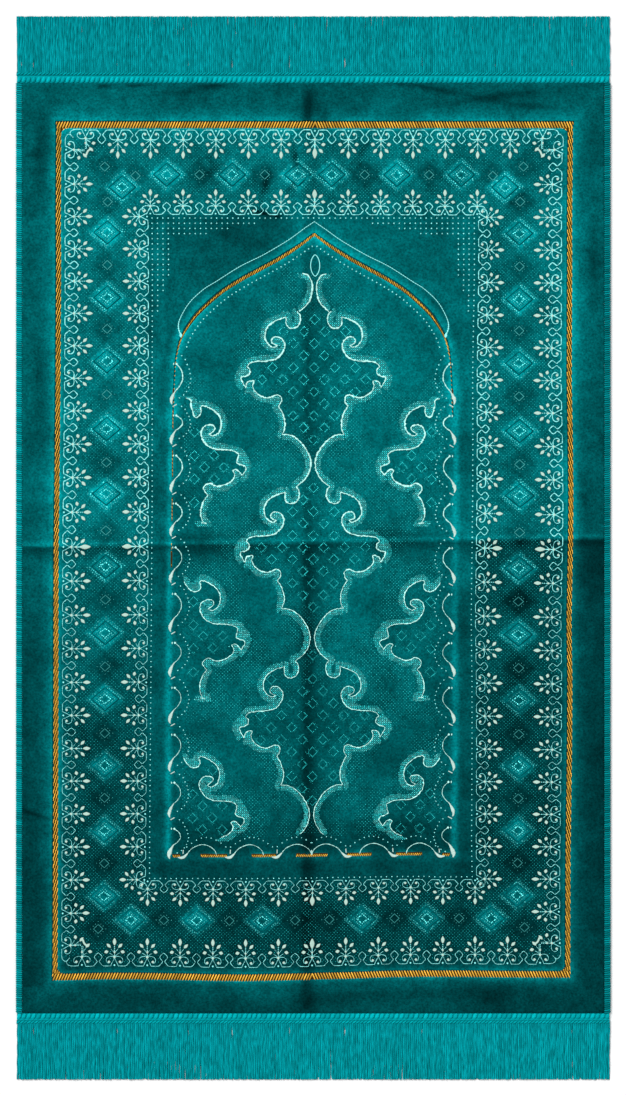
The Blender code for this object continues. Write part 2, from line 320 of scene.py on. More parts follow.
def pile_shade(x, y):
    """How light the pile looks, from 0 to 1 as the eye sees it: the nap's own tone, with painted shade and
    highlights at the creases, the sunk bands and below the head's overlock.
    """
    sx, sy = straightened(x, y)
    across = x - LENGTHWISE_CREASE["at"]
    down = -y - CROSSWISE_CREASE["at"] - CROSSWISE_CREASE["slant"] * x
    below = smooth(down / 9 + 0.3)
    right = smooth(across / 40 + 0.3)
    depth = np.clip(down / 540, 0, 1)
    upper = 0.345 - 0.015 * right
    lower_left = 0.325 - 0.120 * depth ** 0.7
    lower_right = 0.212 + 0.010 * depth
    margin = upper + (lower_left + (lower_right - lower_left) * right - upper) * below

    # Inside the border the pile is a little lighter, and the niche the most
    lower_inner = (0.350 - 0.075 * depth ** 2.2) * (1 - 0.06 * right)
    inner = 0.365 + (lower_inner - 0.365) * below
    out, into = from_border_band(sx, sy)
    within = smooth((into - 96) / 12)
    shade = margin + (inner - margin) * within
    in_niche = smooth((NICHE_HALF_WIDTH - np.abs(sx)) / 6) * smooth((sy - NICHE_FOOT) / 6)
    in_niche = in_niche * smooth((372 - 0.0045 * sx * sx - sy) / 8)
    shade = shade + 0.022 * in_niche
    column = np.exp(-(((sx + 1) / 26) ** 2)) * in_niche * (1 - smooth((sy - 300) / 60))
    shade = shade - (0.030 + 0.015 * below) * column
    shade = shade + (0.026 + 0.020 * below) * in_niche * np.exp(-(((sx - 42) / 24) ** 2))
    shade = shade * (1 - 0.18 * in_niche * smooth((-sy - 316) / 14)
                     - 0.06 * in_niche * smooth((-sy - 120) / 60))
    strip = smooth((np.abs(sx) - 172) / 6) * smooth((194 - np.abs(sx)) / 6) * smooth((388 - np.abs(sy)) / 6)
    shade = shade + (0.045 * smooth((sy - 150) / 80) * (sx < 0) + 0.018
                     - 0.040 * smooth((-sy - 20) / 80)) * strip
    shade = shade * (1 - 0.09 * within * smooth((-sx - 30) / 50) * np.exp(-((sy + 20) / 120) ** 2))
    shade = shade * (1 - 0.12 * within * smooth((-sy - 366) / 8))

    # The border ring: light round the bright diamonds and flowers, dark round the dim ones
    ring = smooth((into - 3) / 4) * (1 - within)
    tone = margin / 0.345
    base = 0.395 * tone ** 0.80
    low = smooth((-sy - 90) / 120)
    dim = diamond_nearness(dim_diamonds, sx, sy, 28)
    bright = diamond_nearness(bright_diamonds, sx, sy, 25.0)
    figured = base * (1 - 0.17 * low) - (0.065 + 0.06 * (1.0 - tone)) * (1 - 0.6 * low) * smooth(dim * 1.6)
    raised = smooth(bright * 3.4) * (1 - 0.40 * smooth((bright - 0.82) * 9))
    soft = smooth(bright * 2.1) * (1 - 0.35 * smooth((bright - 0.70) * 6))
    raised = raised + (soft - raised) * low
    figured = figured + (0.555 * tone ** (0.40 + 0.12 * low) - figured) * raised * 0.92
    shade = shade + (figured - shade) * ring

    # The pile leans away from the sunk bands and catches the light there
    lightness = 0.55 + 0.45 * tone
    for away, reach, level in ((out, 8.0, 0.545 - 0.04 * right * below), (into, 5.0, 0.560)):
        near = np.exp(-np.clip(away, 0, None) / reach) * (away > -1)
        shade = shade + (level * lightness - shade) * near * (level * lightness > shade)
    arch_distance, arch_side = distance_to(arch_line, sx, sy)
    over = (arch_side > 0) * within * smooth((sy - 215) / 30) * smooth((-sx - 10) / 40)
    shade = shade * (1 - 0.13 * over)
    reach = np.where(arch_side < 0, 4.6, 7.0)
    glow = np.exp(-np.clip(arch_distance - 2.2, 0, None) / reach)
    shade = shade + (0.600 - shade) * glow * 0.95
    hollow = np.where((arch_side > 0) & (arch_distance > 9), np.exp(-((arch_distance - 13) / 4.0) ** 2), 0)
    shade = shade - 0.05 * hollow
    side_line = np.exp(-(((np.abs(sx) - 169.0) / 4.2) ** 2)) * smooth((175 - sy) / 30)
    side_line = side_line * smooth((sy - NICHE_FOOT + 6) / 8)
    foot_line = np.exp(-(((sy - NICHE_FOOT - 0.5) / 5.0) ** 2)) * smooth((176 - np.abs(sx)) / 8)
    dashes = 0.72 + 0.28 * np.cos(sx / 55 * 2 * math.pi)
    for line, level in ((side_line, 0.570 * lightness), (foot_line, 0.52 * lightness * dashes)):
        shade = shade + (level - shade) * line * (level > shade)

    # Creases: a painted highlight on each crest and painted shade on its far side from the window
    fade = smooth((CLOTH_HALF[1] - np.abs(y)) / 12)
    shade = shade * (1 - (0.15 + 0.22 * below) * np.exp(-(((across - 1) / 9.0) ** 2)) * fade)
    shade = shade * (1 + 0.10 * np.exp(-((across + 8) / 4.0) ** 2) * fade)
    crosswise_crease_shadow = smooth((down + 0.5) / 3.5) * np.exp(-np.clip(down - 3, 0, None) / 9.0)
    shade = shade * (1 - (0.36 - 0.06 * right) * crosswise_crease_shadow)
    shade = shade * (1 + 0.20 * np.exp(-((down + 2.2) / 2.2) ** 2))
    # Pressed pile, and painted shadow below the head's overlock
    for bx, by, half_long, half_wide, turn, strength in PRESSED_MARKS_AND_SHADOWS:
        c, s = math.cos(math.radians(turn)), math.sin(math.radians(turn))
        u, v = (x - bx) * c + (y - by) * s, -(x - bx) * s + (y - by) * c
        shade = shade * (1 - strength * np.exp(-((u / half_long) ** 2) - (v / half_wide) ** 2))
    shade = shade * (1 + 0.24 * smooth((-sy - 513) / 10) * smooth((215 - x) / 60))
    shade = shade * (1 + 0.11 * blotches(x, y, 31) + 0.08 * blotches(x, y, 12) + 0.07 * blotches(x, y, 5))

    # Painted shadow: the wall of a sunk band that faces away from the window is darkened
    arch_depth = arch_half_width(sy) - arch_distance
    band = BORDER_BAND
    outer_wall_shadow = np.where(sy > band["head"], 0.92, np.where(sx < band["left"], 0.60, 0.0))
    wall_shadow = np.exp(-(((-out - 0.2) / 0.6) ** 2)) * outer_wall_shadow
    inner_wall_shadow = np.where(sy < band["foot"] + 9, 0.55, np.where(sx > band["right"] - 9, 0.60, 0.0))
    wall_shadow = np.maximum(wall_shadow, np.exp(-(((-into - 0.2) / 0.6) ** 2)) * inner_wall_shadow)
    arch_wall_shadow = np.exp(-(((arch_depth - 0.1) / 0.6) ** 2)) * (arch_side > 0) * 0.70
    shade = shade * (1 - np.maximum(wall_shadow, arch_wall_shadow))
    return np.clip(shade, 0.03, 0.95)


def band_rim(outer, offset):
    """The border band's outer or inner rim as a closed line on the rug, moved off the band by the offset."""
    band = BORDER_BAND
    sign = 1 if outer else -1
    wide, high = sign * (band["side_width"] / 2 + offset), sign * (band["width"] / 2 + offset)
    radius = 0.0 if outer else band["inner_corner"] - offset
    rim = []
    for cx, cy, start in ((band["right"] + wide, band["head"] + high, 0),
                          (band["left"] - wide, band["head"] + high, 90),
                          (band["left"] - wide, band["foot"] - high, 180),
                          (band["right"] + wide, band["foot"] - high, 270)):
        middle = (cx - math.copysign(radius, cx), cy - math.copysign(radius, cy))
        for turn in range(0, 91, 15) if radius else (0,):
            angle = math.radians(start + turn)
            rim.append((middle[0] + radius * math.cos(angle), middle[1] + radius * math.sin(angle)))
    spread = []
    for a, c in zip(rim, rim[1:] + rim[:1]):
        count = max(1, math.ceil(math.dist(a, c) / 4.0))
        spread += [(a[0] + (c[0] - a[0]) * i / count, a[1] + (c[1] - a[1]) * i / count) for i in range(count)]
    return laid(spread)


def arch_rim(offset):
    """A closed line round the gold arch band, moved away from the band by the offset."""
    along = np.gradient(arch_line, axis=0)
    along /= np.linalg.norm(along, axis=1)[:, None]
    normal = np.column_stack([-along[:, 1], along[:, 0]])
    half = (arch_half_width(arch_line[:, 1]) + offset)[:, None]
    return laid(np.vstack([arch_line + normal * half, (arch_line - normal * half)[::-1]]))


def cloth_points():
    """Places of the pile's mesh and the lines that it must follow: the edge and the sunk bands' rims."""
    across, down = PILE_SPACING
    half_x, half_y = CLOTH_HALF
    columns, rows = round(2 * half_x / across), round(2 * half_y / down)
    edge = [(-half_x + 2 * half_x * i / columns, -half_y) for i in range(columns)]
    edge += [(half_x, -half_y + 2 * half_y * i / rows) for i in range(rows)]
    edge += [(half_x - 2 * half_x * i / columns, half_y) for i in range(columns)]
    edge += [(-half_x, half_y - 2 * half_y * i / rows) for i in range(rows)]
    loops = [np.array(edge)]
    # The loop 0.9 mm off each rim ends the painted shadow on the band's wall
    for offset in (0.9, 0.0, -0.8):
        loops += [band_rim(True, offset), band_rim(False, offset), arch_rim(offset)]
    inner = []
    for j in range(1, rows):
        shift = 0.5 if j % 2 else 0.0
        y = -half_y + 2 * half_y * j / rows
        inner.append([(-half_x + 2 * half_x * (i + shift) / columns, y) for i in range(1, columns)])
    inner = np.vstack(inner)
    inner = inner + chance.uniform(-0.35, 0.35, inner.shape)
    sx, sy = straightened(inner[:, 0], inner[:, 1])
    out, into = from_border_band(sx, sy)
    arch = distance_to(arch_line, sx, sy)[0]
    free = ((out > 1.9) | (out < -1.8)) & ((into > 1.9) | (into < -1.8))
    free &= arch > ARCH_BAND_WIDTH / 2 + 1.9
    free &= (np.abs(inner[:, 0]) < half_x - 0.9) & (np.abs(inner[:, 1]) < half_y - 0.9)
    points, edges = [], []
    for loop in loops:
        first, count = len(points), len(loop)
        points += [tuple(p) for p in loop]
        edges += [(first + i, first + (i + 1) % count) for i in range(count)]
    return points + [tuple(p) for p in inner[free]], edges, len(edge)


def meshed(points, edges):
    """A net of triangles over the points, facing up, that keeps the edges, and each point's new number."""
    places, _, faces, origin, _, _ = delaunay_2d_cdt([tuple(p) for p in points], edges, [], 0, 1e-5)
    places = np.array([tuple(p) for p in places])
    faces = np.array(faces)
    a, b, c = (places[faces[:, i]] for i in range(3))
    turned = (b[:, 0] - a[:, 0]) * (c[:, 1] - a[:, 1]) < (b[:, 1] - a[:, 1]) * (c[:, 0] - a[:, 0])
    faces[turned] = faces[turned][:, ::-1]
    number = {old: new for new, olds in enumerate(origin) for old in olds}
    return places, faces, number


def make_piece(name, points, faces, materials, slot_name, shade=None, face_materials=None):
    """A piece that rides on the rug, from points in millimetres and faces of equal or unequal length."""
    mesh = bpy.data.meshes.new(name)
    faces = faces if isinstance(faces, list) else np.asarray(faces).tolist()
    mesh.from_pydata((np.asarray(points) * MM).tolist(), [], faces)
    for material in materials if isinstance(materials, (list, tuple)) else [materials]:
        mesh.materials.append(material)
    if shade is not None:
        point_shade = mesh.attributes.new("shade", "FLOAT", "POINT")
        point_shade.data.foreach_set("value", np.asarray(shade, np.float32))
    if face_materials is not None:
        mesh.polygons.foreach_set("material_index", np.asarray(face_materials, np.int32))
    mesh.update()
    piece = bpy.data.objects.new(name, mesh)
    bpy.context.scene.collection.objects.link(piece)
    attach(piece, "root")
    return piece


def node(tree, kind, inputs=None, **settings):
    """A shader node with its settings, whose inputs are values or other nodes' outputs."""
    made = tree.nodes.new(kind)
    for name, value in settings.items():
        setattr(made, name, value)
    for socket, value in (inputs or {}).items():
        if isinstance(value, bpy.types.NodeSocket):
            tree.links.new(value, made.inputs[socket])
        else:
            made.inputs[socket].default_value = value
    return made


def new_material(name, roughness, specular=0.05):
    """An empty cloth material: its tree and its Principled shader."""
    material = bpy.data.materials.new(name)
    material.use_nodes = True
    shader = material.node_tree.nodes["Principled BSDF"]
    shader.inputs["Roughness"].default_value = roughness
    shader.inputs["Specular IOR Level"].default_value = specular
    return material, material.node_tree, shader


def new_group(name, inputs, outputs):
    """A shader node group with float inputs (name, value) and float outputs, with its in and out nodes."""
    group = bpy.data.node_groups.new(name, "ShaderNodeTree")
    for label, value in inputs:
        group.interface.new_socket(label, in_out="INPUT", socket_type="NodeSocketFloat").default_value = value
    for label in outputs:
        group.interface.new_socket(label, in_out="OUTPUT", socket_type="NodeSocketFloat")
    return group, node(group, "NodeGroupInput"), node(group, "NodeGroupOutput")


def tinted(tree, colour, *factors):
    """A colour multiplied by each of some values that change over the surface."""
    result = (*colour, 1.0)
    for factor in factors:
        mixed = node(tree, "ShaderNodeMix", data_type="RGBA", blend_type="MULTIPLY")
        mixed.inputs[0].default_value = 1.0
        for socket, value in ((6, result), (7, factor)):
            if isinstance(value, bpy.types.NodeSocket):
                tree.links.new(value, mixed.inputs[socket])
            else:
                mixed.inputs[socket].default_value = value
        result = mixed.outputs[2]
    return result


# Fine speckle of cut pile ends: a value near 1 to multiply a colour by, and the same speckle as a height
pile_grain, grain_in, grain_out = new_group("Cut pile grain", [("Tufts per metre", 700.0), ("Contrast", 0.3)],
                                            ["Tone", "Height"])
spot = node(pile_grain, "ShaderNodeTexCoord").outputs["Object"]
tuft_noise = node(pile_grain, "ShaderNodeTexNoise",
                  {"Vector": spot, "Scale": grain_in.outputs["Tufts per metre"], "Detail": 2.0,
                   "Roughness": 0.6})
centred = node(pile_grain, "ShaderNodeMath", {0: tuft_noise.outputs["Fac"], 1: 0.5}, operation="SUBTRACT")
spread_out = node(pile_grain, "ShaderNodeMath", {0: centred.outputs[0], 1: grain_in.outputs["Contrast"]},
                  operation="MULTIPLY")
tone_out = node(pile_grain, "ShaderNodeMath", {0: spread_out.outputs[0], 1: 1.0}, operation="ADD")
pile_grain.links.new(tone_out.outputs[0], grain_out.inputs["Tone"])
pile_grain.links.new(tuft_noise.outputs["Fac"], grain_out.inputs["Height"])

velvet, tree, shader = new_material("teal_velvet", 0.9, 0.0)
shader.inputs["Sheen Weight"].default_value = 0.03
shader.inputs["Sheen Roughness"].default_value = 0.45
shader.inputs["Sheen Tint"].default_value = (0.25, 0.95, 0.95, 1.0)
grain = node(tree, "ShaderNodeGroup", node_tree=pile_grain)
grain.inputs["Tufts per metre"].default_value = 430.0
grain.inputs["Contrast"].default_value = 2.0
# The shade attribute carries the nap's tone and the painted shade and highlights of pile_shade
nap_and_painted_shade = node(tree, "ShaderNodeAttribute", attribute_name="shade")
reflectance = node(tree, "ShaderNodeMath", {0: nap_and_painted_shade.outputs["Fac"], 1: 2.2}, operation="POWER")
pile_colour = tinted(tree, (0.001, 0.93, 1.0), reflectance.outputs[0], grain.outputs["Tone"])
tree.links.new(pile_colour, shader.inputs["Base Color"])
lumps = node(tree, "ShaderNodeBump", {"Height": grain.outputs["Height"], "Strength": 0.25,
                                      "Distance": 0.0006})
tree.links.new(lumps.outputs[0], shader.inputs["Normal"])

woven_back, tree, shader = new_material("woven_back", 0.92, 0.04)
spot = node(tree, "ShaderNodeTexCoord").outputs["Object"]
picks = node(tree, "ShaderNodeTexWave", {"Vector": spot, "Scale": 160.0, "Distortion": 0.6, "Detail": 1.0},
             bands_direction="Y")
warps = node(tree, "ShaderNodeTexWave", {"Vector": spot, "Scale": 110.0, "Distortion": 0.6, "Detail": 1.0},
             bands_direction="X")
crossed = node(tree, "ShaderNodeMath", {0: picks.outputs["Fac"], 1: warps.outputs["Fac"]},
               operation="MULTIPLY")
weave_tone = node(tree, "ShaderNodeMapRange", {"Value": crossed.outputs[0], "To Min": 0.45, "To Max": 1.15})
tree.links.new(tinted(tree, (0.012, 0.145, 0.150), weave_tone.outputs[0]), shader.inputs["Base Color"])
knots = node(tree, "ShaderNodeBump", {"Height": crossed.outputs[0], "Strength": 0.5, "Distance": 0.0005})
tree.links.new(knots.outputs[0], shader.inputs["Normal"])

band_ground, tree, shader = new_material("band_ground", 0.9, 0.04)
grain = node(tree, "ShaderNodeGroup", node_tree=pile_grain)
grain.inputs["Tufts per metre"].default_value = 900.0
grain.inputs["Contrast"].default_value = 1.2
tree.links.new(tinted(tree, (0.052, 0.023, 0.003), grain.outputs["Tone"]), shader.inputs["Base Color"])

points, edges, edge_count = cloth_points()
places, faces, number = meshed(points, edges)
x, y = places[:, 0], places[:, 1]
sx, sy = straightened(x, y)
out, into = from_border_band(sx, sy)
arch_depth = arch_half_width(sy) - distance_to(arch_line, sx, sy)[0]
in_band = smooth(np.maximum(np.minimum(-out, -into), arch_depth) / 0.8)
face_height = pile_top(x, y) - BAND_DEPTH * in_band
edge_top = np.array([number[i] for i in range(edge_count)])
under_points = [points[i] for i in range(edge_count)]
steps = [round(2 * half / BACK_SPACING) for half in CLOTH_HALF]
under_points += [(-CLOTH_HALF[0] + 2 * CLOTH_HALF[0] * i / steps[0],
                  -CLOTH_HALF[1] + 2 * CLOTH_HALF[1] * j / steps[1])
                 for i in range(1, steps[0]) for j in range(1, steps[1])]
under_points += [(LENGTHWISE_CREASE["at"] + dx, -520 + 20 * j) for dx in (-8, -4, 0, 5, 10, 16)
                 for j in range(53)]
under, under_faces, under_number = meshed(under_points,
                                          [(i, (i + 1) % edge_count) for i in range(edge_count)])
first_under = len(places)
skirt = []
for i in range(edge_count):
    j = (i + 1) % edge_count
    skirt.append([edge_top[i], first_under + under_number[i], first_under + under_number[j], edge_top[j]])
cloth_faces = faces.tolist() + (under_faces[:, ::-1] + first_under).tolist()
cloth_faces += [[int(v) for v in f] for f in skirt]
cloth_places = np.vstack([np.column_stack([x, y, face_height]),
                          np.column_stack([under, cloth_lift(under[:, 0], under[:, 1])])])
cloth_shade = np.concatenate([pile_shade(x, y), np.full(len(under), 0.3)])
sunk = (in_band[faces] > 0.9).all(axis=1)
which = np.concatenate([np.where(sunk, 2, 0), np.ones(len(under_faces)), np.zeros(len(skirt))])
pile = make_piece("velvet_pile", cloth_places, cloth_faces, [velvet, woven_back, band_ground], "velvet_pile",
                  cloth_shade, which)
pile.data.polygons.foreach_set("use_smooth", np.array(which == 0))
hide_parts("pile_cloth")


# ---- The gold bands ----
# Flat-woven twill of gold yarn on a brown ground, lower than the pile: a band round the whole border, and a
# narrower one over the arch that goes on as a broken line down the niche's sides and along its foot.

GOLD_PITCH = 3.3
GOLD_STITCH_WIDTH = 1.6
GOLD_SLANT = 66.0            # degrees from the band's own direction, on the end bands
SIDE_STITCH = {"length": 5.0, "pitch": 8.8, "width": 1.04, "lean": 5.0, "column_gap": 1.18, "drift": 0.45}
ARCH_PITCH = 3.3
ARCH_SLANT = 61.0
ARCH_STITCH_WIDTH = 1.05
FOOT_DASHES = ((-18.5, 18.5), (42.0, 71.2), (99.6, 131.1), (154.5, 164.0))


def yarn_strip(line, width, low=-0.2, crown=0.35):
    """A flat float of yarn along a line on the rug: its edges sink in the pile, its face stands proud."""
    line = np.asarray(line, float)
    along = np.gradient(line, axis=0)
    along = along / (np.linalg.norm(along, axis=1)[:, None] + 1e-9)
    normal = np.column_stack([-along[:, 1], along[:, 0]])
    half = np.broadcast_to(np.asarray(width, float), len(line))[:, None] / 2
    flat = np.stack([line + normal * half * share for share in (1, 0.6, -0.6, -1)], axis=1).reshape(-1, 2)
    height = pile_top(flat[:, 0], flat[:, 1]) + np.tile([low, crown, crown, low], len(line))
    first = 4 * np.arange(len(line) - 1)[:, None]
    quads = np.concatenate([first + (i, i + 1, i + 5, i + 4) for i in range(3)])
    return np.column_stack([flat, height]), quads


def joined(parts):
    """The points and faces of several parts as those of one."""
    points, faces, first = [], [], 0
    for part_points, part_faces in parts:
        points.append(part_points)
        faces.append(np.asarray(part_faces) + first)
        first += len(part_points)
    return np.vstack(points), np.concatenate(faces)


# Twisted yarn: slanting plies as a value near 1, and as a height
spun_yarn, yarn_in, yarn_out = new_group("Spun yarn", [("Plies per metre", 500.0), ("Contrast", 0.3)],
                                         ["Tone", "Height"])
spot = node(spun_yarn, "ShaderNodeTexCoord").outputs["Object"]
fibres = node(spun_yarn, "ShaderNodeTexNoise",
              {"Vector": spot, "Scale": yarn_in.outputs["Plies per metre"], "Detail": 3.0, "Roughness": 0.65})
plies = node(spun_yarn, "ShaderNodeTexWave",
             {"Vector": spot, "Scale": yarn_in.outputs["Plies per metre"], "Distortion": 1.5, "Detail": 1.0},
             bands_direction="DIAGONAL")
both = node(spun_yarn, "ShaderNodeMath", {0: fibres.outputs["Fac"], 1: plies.outputs["Fac"]}, operation="ADD")
centred = node(spun_yarn, "ShaderNodeMath", {0: both.outputs[0], 1: 1.0}, operation="SUBTRACT")
spread_out = node(spun_yarn, "ShaderNodeMath", {0: centred.outputs[0], 1: yarn_in.outputs["Contrast"]},
                  operation="MULTIPLY")
tone_out = node(spun_yarn, "ShaderNodeMath", {0: spread_out.outputs[0], 1: 1.0}, operation="ADD")
spun_yarn.links.new(tone_out.outputs[0], yarn_out.inputs["Tone"])
spun_yarn.links.new(both.outputs[0], yarn_out.inputs["Height"])


def yarn_material(name, colour, plies_per_metre, contrast, roughness=0.7, specular=0.1, own_shade=False):
    """Spun yarn of one dye. With own_shade the piece's points say how light each yarn is."""
    material, tree, shader = new_material(name, roughness, specular)
    twist = node(tree, "ShaderNodeGroup", node_tree=spun_yarn)
    twist.inputs["Plies per metre"].default_value = plies_per_metre
    twist.inputs["Contrast"].default_value = contrast
    factors = [twist.outputs["Tone"]]
    if own_shade:
        factors.append(node(tree, "ShaderNodeAttribute", attribute_name="shade").outputs["Fac"])
    tree.links.new(tinted(tree, colour, *factors), shader.inputs["Base Color"])
    bump = node(tree, "ShaderNodeBump", {"Height": twist.outputs["Height"], "Strength": 0.3,
                                         "Distance": 0.0003})
    tree.links.new(bump.outputs[0], shader.inputs["Normal"])
    return material


gold_yarn = yarn_material("gold_yarn", (0.84, 0.465, 0.058), 420.0, 0.35, 0.6, 0.05, own_shade=True)


def gold_stitch(middle, angle, length, width, low=-1.1, crown=-0.35):
    """One slanting gold float, narrower at its two ends where it dives into the ground."""
    step = np.array([math.cos(math.radians(angle)), math.sin(math.radians(angle))]) * length / 2
    line = np.asarray(middle, float) + np.array([-1, -0.6, 0, 0.6, 1])[:, None] * step
    return yarn_strip(laid(line), np.array([0.5, 0.95, 1.0, 0.95, 0.5]) * width, low, crown)


def gold_piece(name, stitches, dye=1.0):
    """All the gold floats of one band, each with a painted highlight towards its upper end."""
    points, faces = joined(stitches)
    light = np.repeat(dye * chance.uniform(0.66, 1.32, len(stitches)), 20)
    return make_piece(name, points, faces, gold_yarn, "gold_yarn",
                      light * np.tile(np.repeat((0.8, 0.9, 1, 1.15, 1.3), 4), len(stitches)))


stitches = []
band = BORDER_BAND
middle_x, half_x = (band["right"] + band["left"]) / 2, (band["right"] - band["left"]) / 2
for at in (band["head"], band["foot"]):
    for i in range(int((half_x + 3.4) / GOLD_PITCH) + 1):
        for side in (-1, 1):
            stitches.append(gold_stitch((middle_x + side * (i + 0.5) * GOLD_PITCH, at),
                                        90 + side * (90 - GOLD_SLANT),
                                        band["width"] / 0.97, GOLD_STITCH_WIDTH))
    # In the inside of each corner the slanting stitches fill the rounded ground
    for side in (-1, 1):
        for across, down in ((5.4, 6.6), (8.6, 5.6), (4.8, 9.8)):
            place = (middle_x + side * (half_x - across), at - math.copysign(down, at))
            stitches.append(gold_stitch(place, 90 + side * (90 - GOLD_SLANT), 4.6, 2.1))
for at, side in ((band["left"], -1), (band["right"], 1)):
    for column in (-2, -1, 0, 1, 2):
        first = band["foot"] + 5.6 + SIDE_STITCH["pitch"] * (column % 2) / 2
        first += SIDE_STITCH["drift"] * (side * column + 2)
        for place in np.arange(first, band["head"] - 5.2, SIDE_STITCH["pitch"]):
            stitches.append(gold_stitch((at + column * SIDE_STITCH["column_gap"], place),
                                        90 + side * SIDE_STITCH["lean"], SIDE_STITCH["length"],
                                        SIDE_STITCH["width"]))
gold_piece("gold_border_band", stitches)

stitches = []
arch_steps = curve_through(ARCH, 0.5)
step_lengths = np.linalg.norm(np.diff(arch_steps, axis=0), axis=1)
sideways = np.abs(np.diff(arch_steps[:, 0]))
counted = np.concatenate([[0], np.cumsum(np.maximum(sideways / ARCH_PITCH, step_lengths / 5.2))])
for reached in np.arange(0.5, counted[-1], 1.0):
    i = int(np.searchsorted(counted, reached))
    here, ahead = arch_steps[i], arch_steps[min(i + 1, len(arch_steps) - 1)] - arch_steps[i - 1]
    turn = math.radians(ARCH_SLANT) - math.atan2(ahead[1], ahead[0])
    length = min(7.2, 2 * arch_half_width(here[1]) / max(0.25, abs(math.sin(turn))))
    for side in (-1, 1):
        slant = ARCH_SLANT if side > 0 else 180 - ARCH_SLANT
        thinner = 0.74 if side > 0 and here[1] < 300 else 1.0
        stitches.append(gold_stitch(here * (side, 1), slant, length * thinner, ARCH_STITCH_WIDTH))
dash_grounds_and_shadows = []
for x0, x1 in FOOT_DASHES:
    for ends in ((x0, x1), (-x1, -x0)) if x0 > 0 else ((x0, x1),):
        dash_grounds_and_shadows.append(yarn_strip(laid([(place, NICHE_FOOT + 0.8) for place in np.linspace(*ends, 8)]),
                                       4.4, -0.1, 0.1))
    for reached in np.arange(x0 + 1.1, x1, 2.2):
        for side in (-1, 1) if x0 > 0 else (1,):
            stitches.append(gold_stitch((side * reached, NICHE_FOOT), 90 - 35 * side, 3.3, 1.25, -0.3, 0.35))
WAVE_NODES = (173.9, 126.8, 70.4, 18.7, -35.9, -93.5, -146.4, -201.6, -258.0, -312.2, -360.9)
for high, low in zip((186.0,) + WAVE_NODES, WAVE_NODES):
    count = max(1, round((high - low - 26) / 4.4))
    for side in (-1, 1) if high > 180 else (-1,) if high > 0 else ():
        edge_x = NICHE_HALF_WIDTH - 2.4 + (160 - (high + low) / 2) * 0.0045
        # At the sides the dark strip is wider than the gold stitches: its dark edges are painted shadow of
        # the pile beside the gold line
        dash_grounds_and_shadows.append(yarn_strip(laid([(side * edge_x, high - 11), (side * edge_x, low + 13)]), 1.8,
                                       -0.15, 0.05))
        for i in range(count):
            place = high - 12 - (high - low - 26) * (i + 0.5) / count
            stitches.append(gold_stitch((side * edge_x, place), 90 - 8 * side, 2.9, 0.75, -0.3, 0.25))
gold_piece("gold_niche_line", stitches, 0.88)
make_piece("gold_niche_line_ground_and_shadow", *joined(dash_grounds_and_shadows), band_ground, "gold_yarn")


# ---- The border's flowers ----
# Cream yarn floats over the pile: a row of small flowers with curled leaves on each side of the border ring,
# joined by a thin running line that makes a small loop between two flowers.

CONTOUR_HALF = (293.1, 492.0)
INNER_CONTOUR_HALF = (194.3, 392.3)
COLUMN_FLOWERS = 11          # on each side of the middle one, along an outer side
ROW_FLOWERS = 6
CORNER_FLOWER = 23.8         # from a corner to the middle of the last flower
# Lines of one flower, as (across, up) from its foot, each with its width. All but the stem come in pairs.
FLOWER_STEM = ((0.0, 9.0), (0.0, 16.0), (0.0, 22.6))
FLOWER_LINES = (
    (((0.6, 11.0), (3.2, 13.2), (5.9, 14.8)), 1.15),
    (((0.2, 15.1), (2.2, 17.4), (4.4, 19.9)), 1.15),
    (((0.0, 10.2), (4.2, 11.0), (8.2, 9.7), (9.8, 6.6), (8.6, 3.7), (6.2, 3.4)), 1.35),
    (((4.4, 0.0), (3.2, 3.0), (0.9, 7.2), (0.1, 9.6)), 1.35),
)
FLOWER_PETALS = (  # middle, direction, half length, half width
    ((9.6, 16.1), (1.0, -0.22), 2.7, 2.15),
    ((6.8, 23.2), (0.72, 0.69), 3.6, 1.95),
    ((6.5, 4.7), (1.0, 0.0), 1.8, 1.7),
)
# From one flower to the middle of the gap, where the line crosses the next flower's, and round half the loop
RUNNING_LINE = ((4.4, 0.0), (9.5, -0.1), (13.8, 0.2), (16.2, 2.6), (18.3, 5.3), (16.4, 7.8), (14.9, 10.4),
                (17.0, 13.2), (19.57, 15.2))
RUNNING_LINE_WIDTH = 1.25


FADE_FROM, FADE_OVER = 70, 180     # the yarn starts to sink and dull here, and does so over this length


def lower_down(points):
    """0 in the upper half of the rug, rising to 1 towards the foot, where the yarn sinks and dulls."""
    return smooth((FADE_FROM - points[:, 1]) / FADE_OVER)


def woven_line(line, width):
    """A thin line of single stitches, of uneven width, that sinks deeper in the pile towards the foot."""
    finer = 0.84 - 0.41 * lower_down(line)
    return yarn_strip(line, width * finer * chance.uniform(0.40, 1.45, len(line)))


def faded(points, foot_light):
    """How light yarn looks at each point: full in the rug's upper half, and a share of it lower down."""
    return 1 - (1 - foot_light) * lower_down(points)


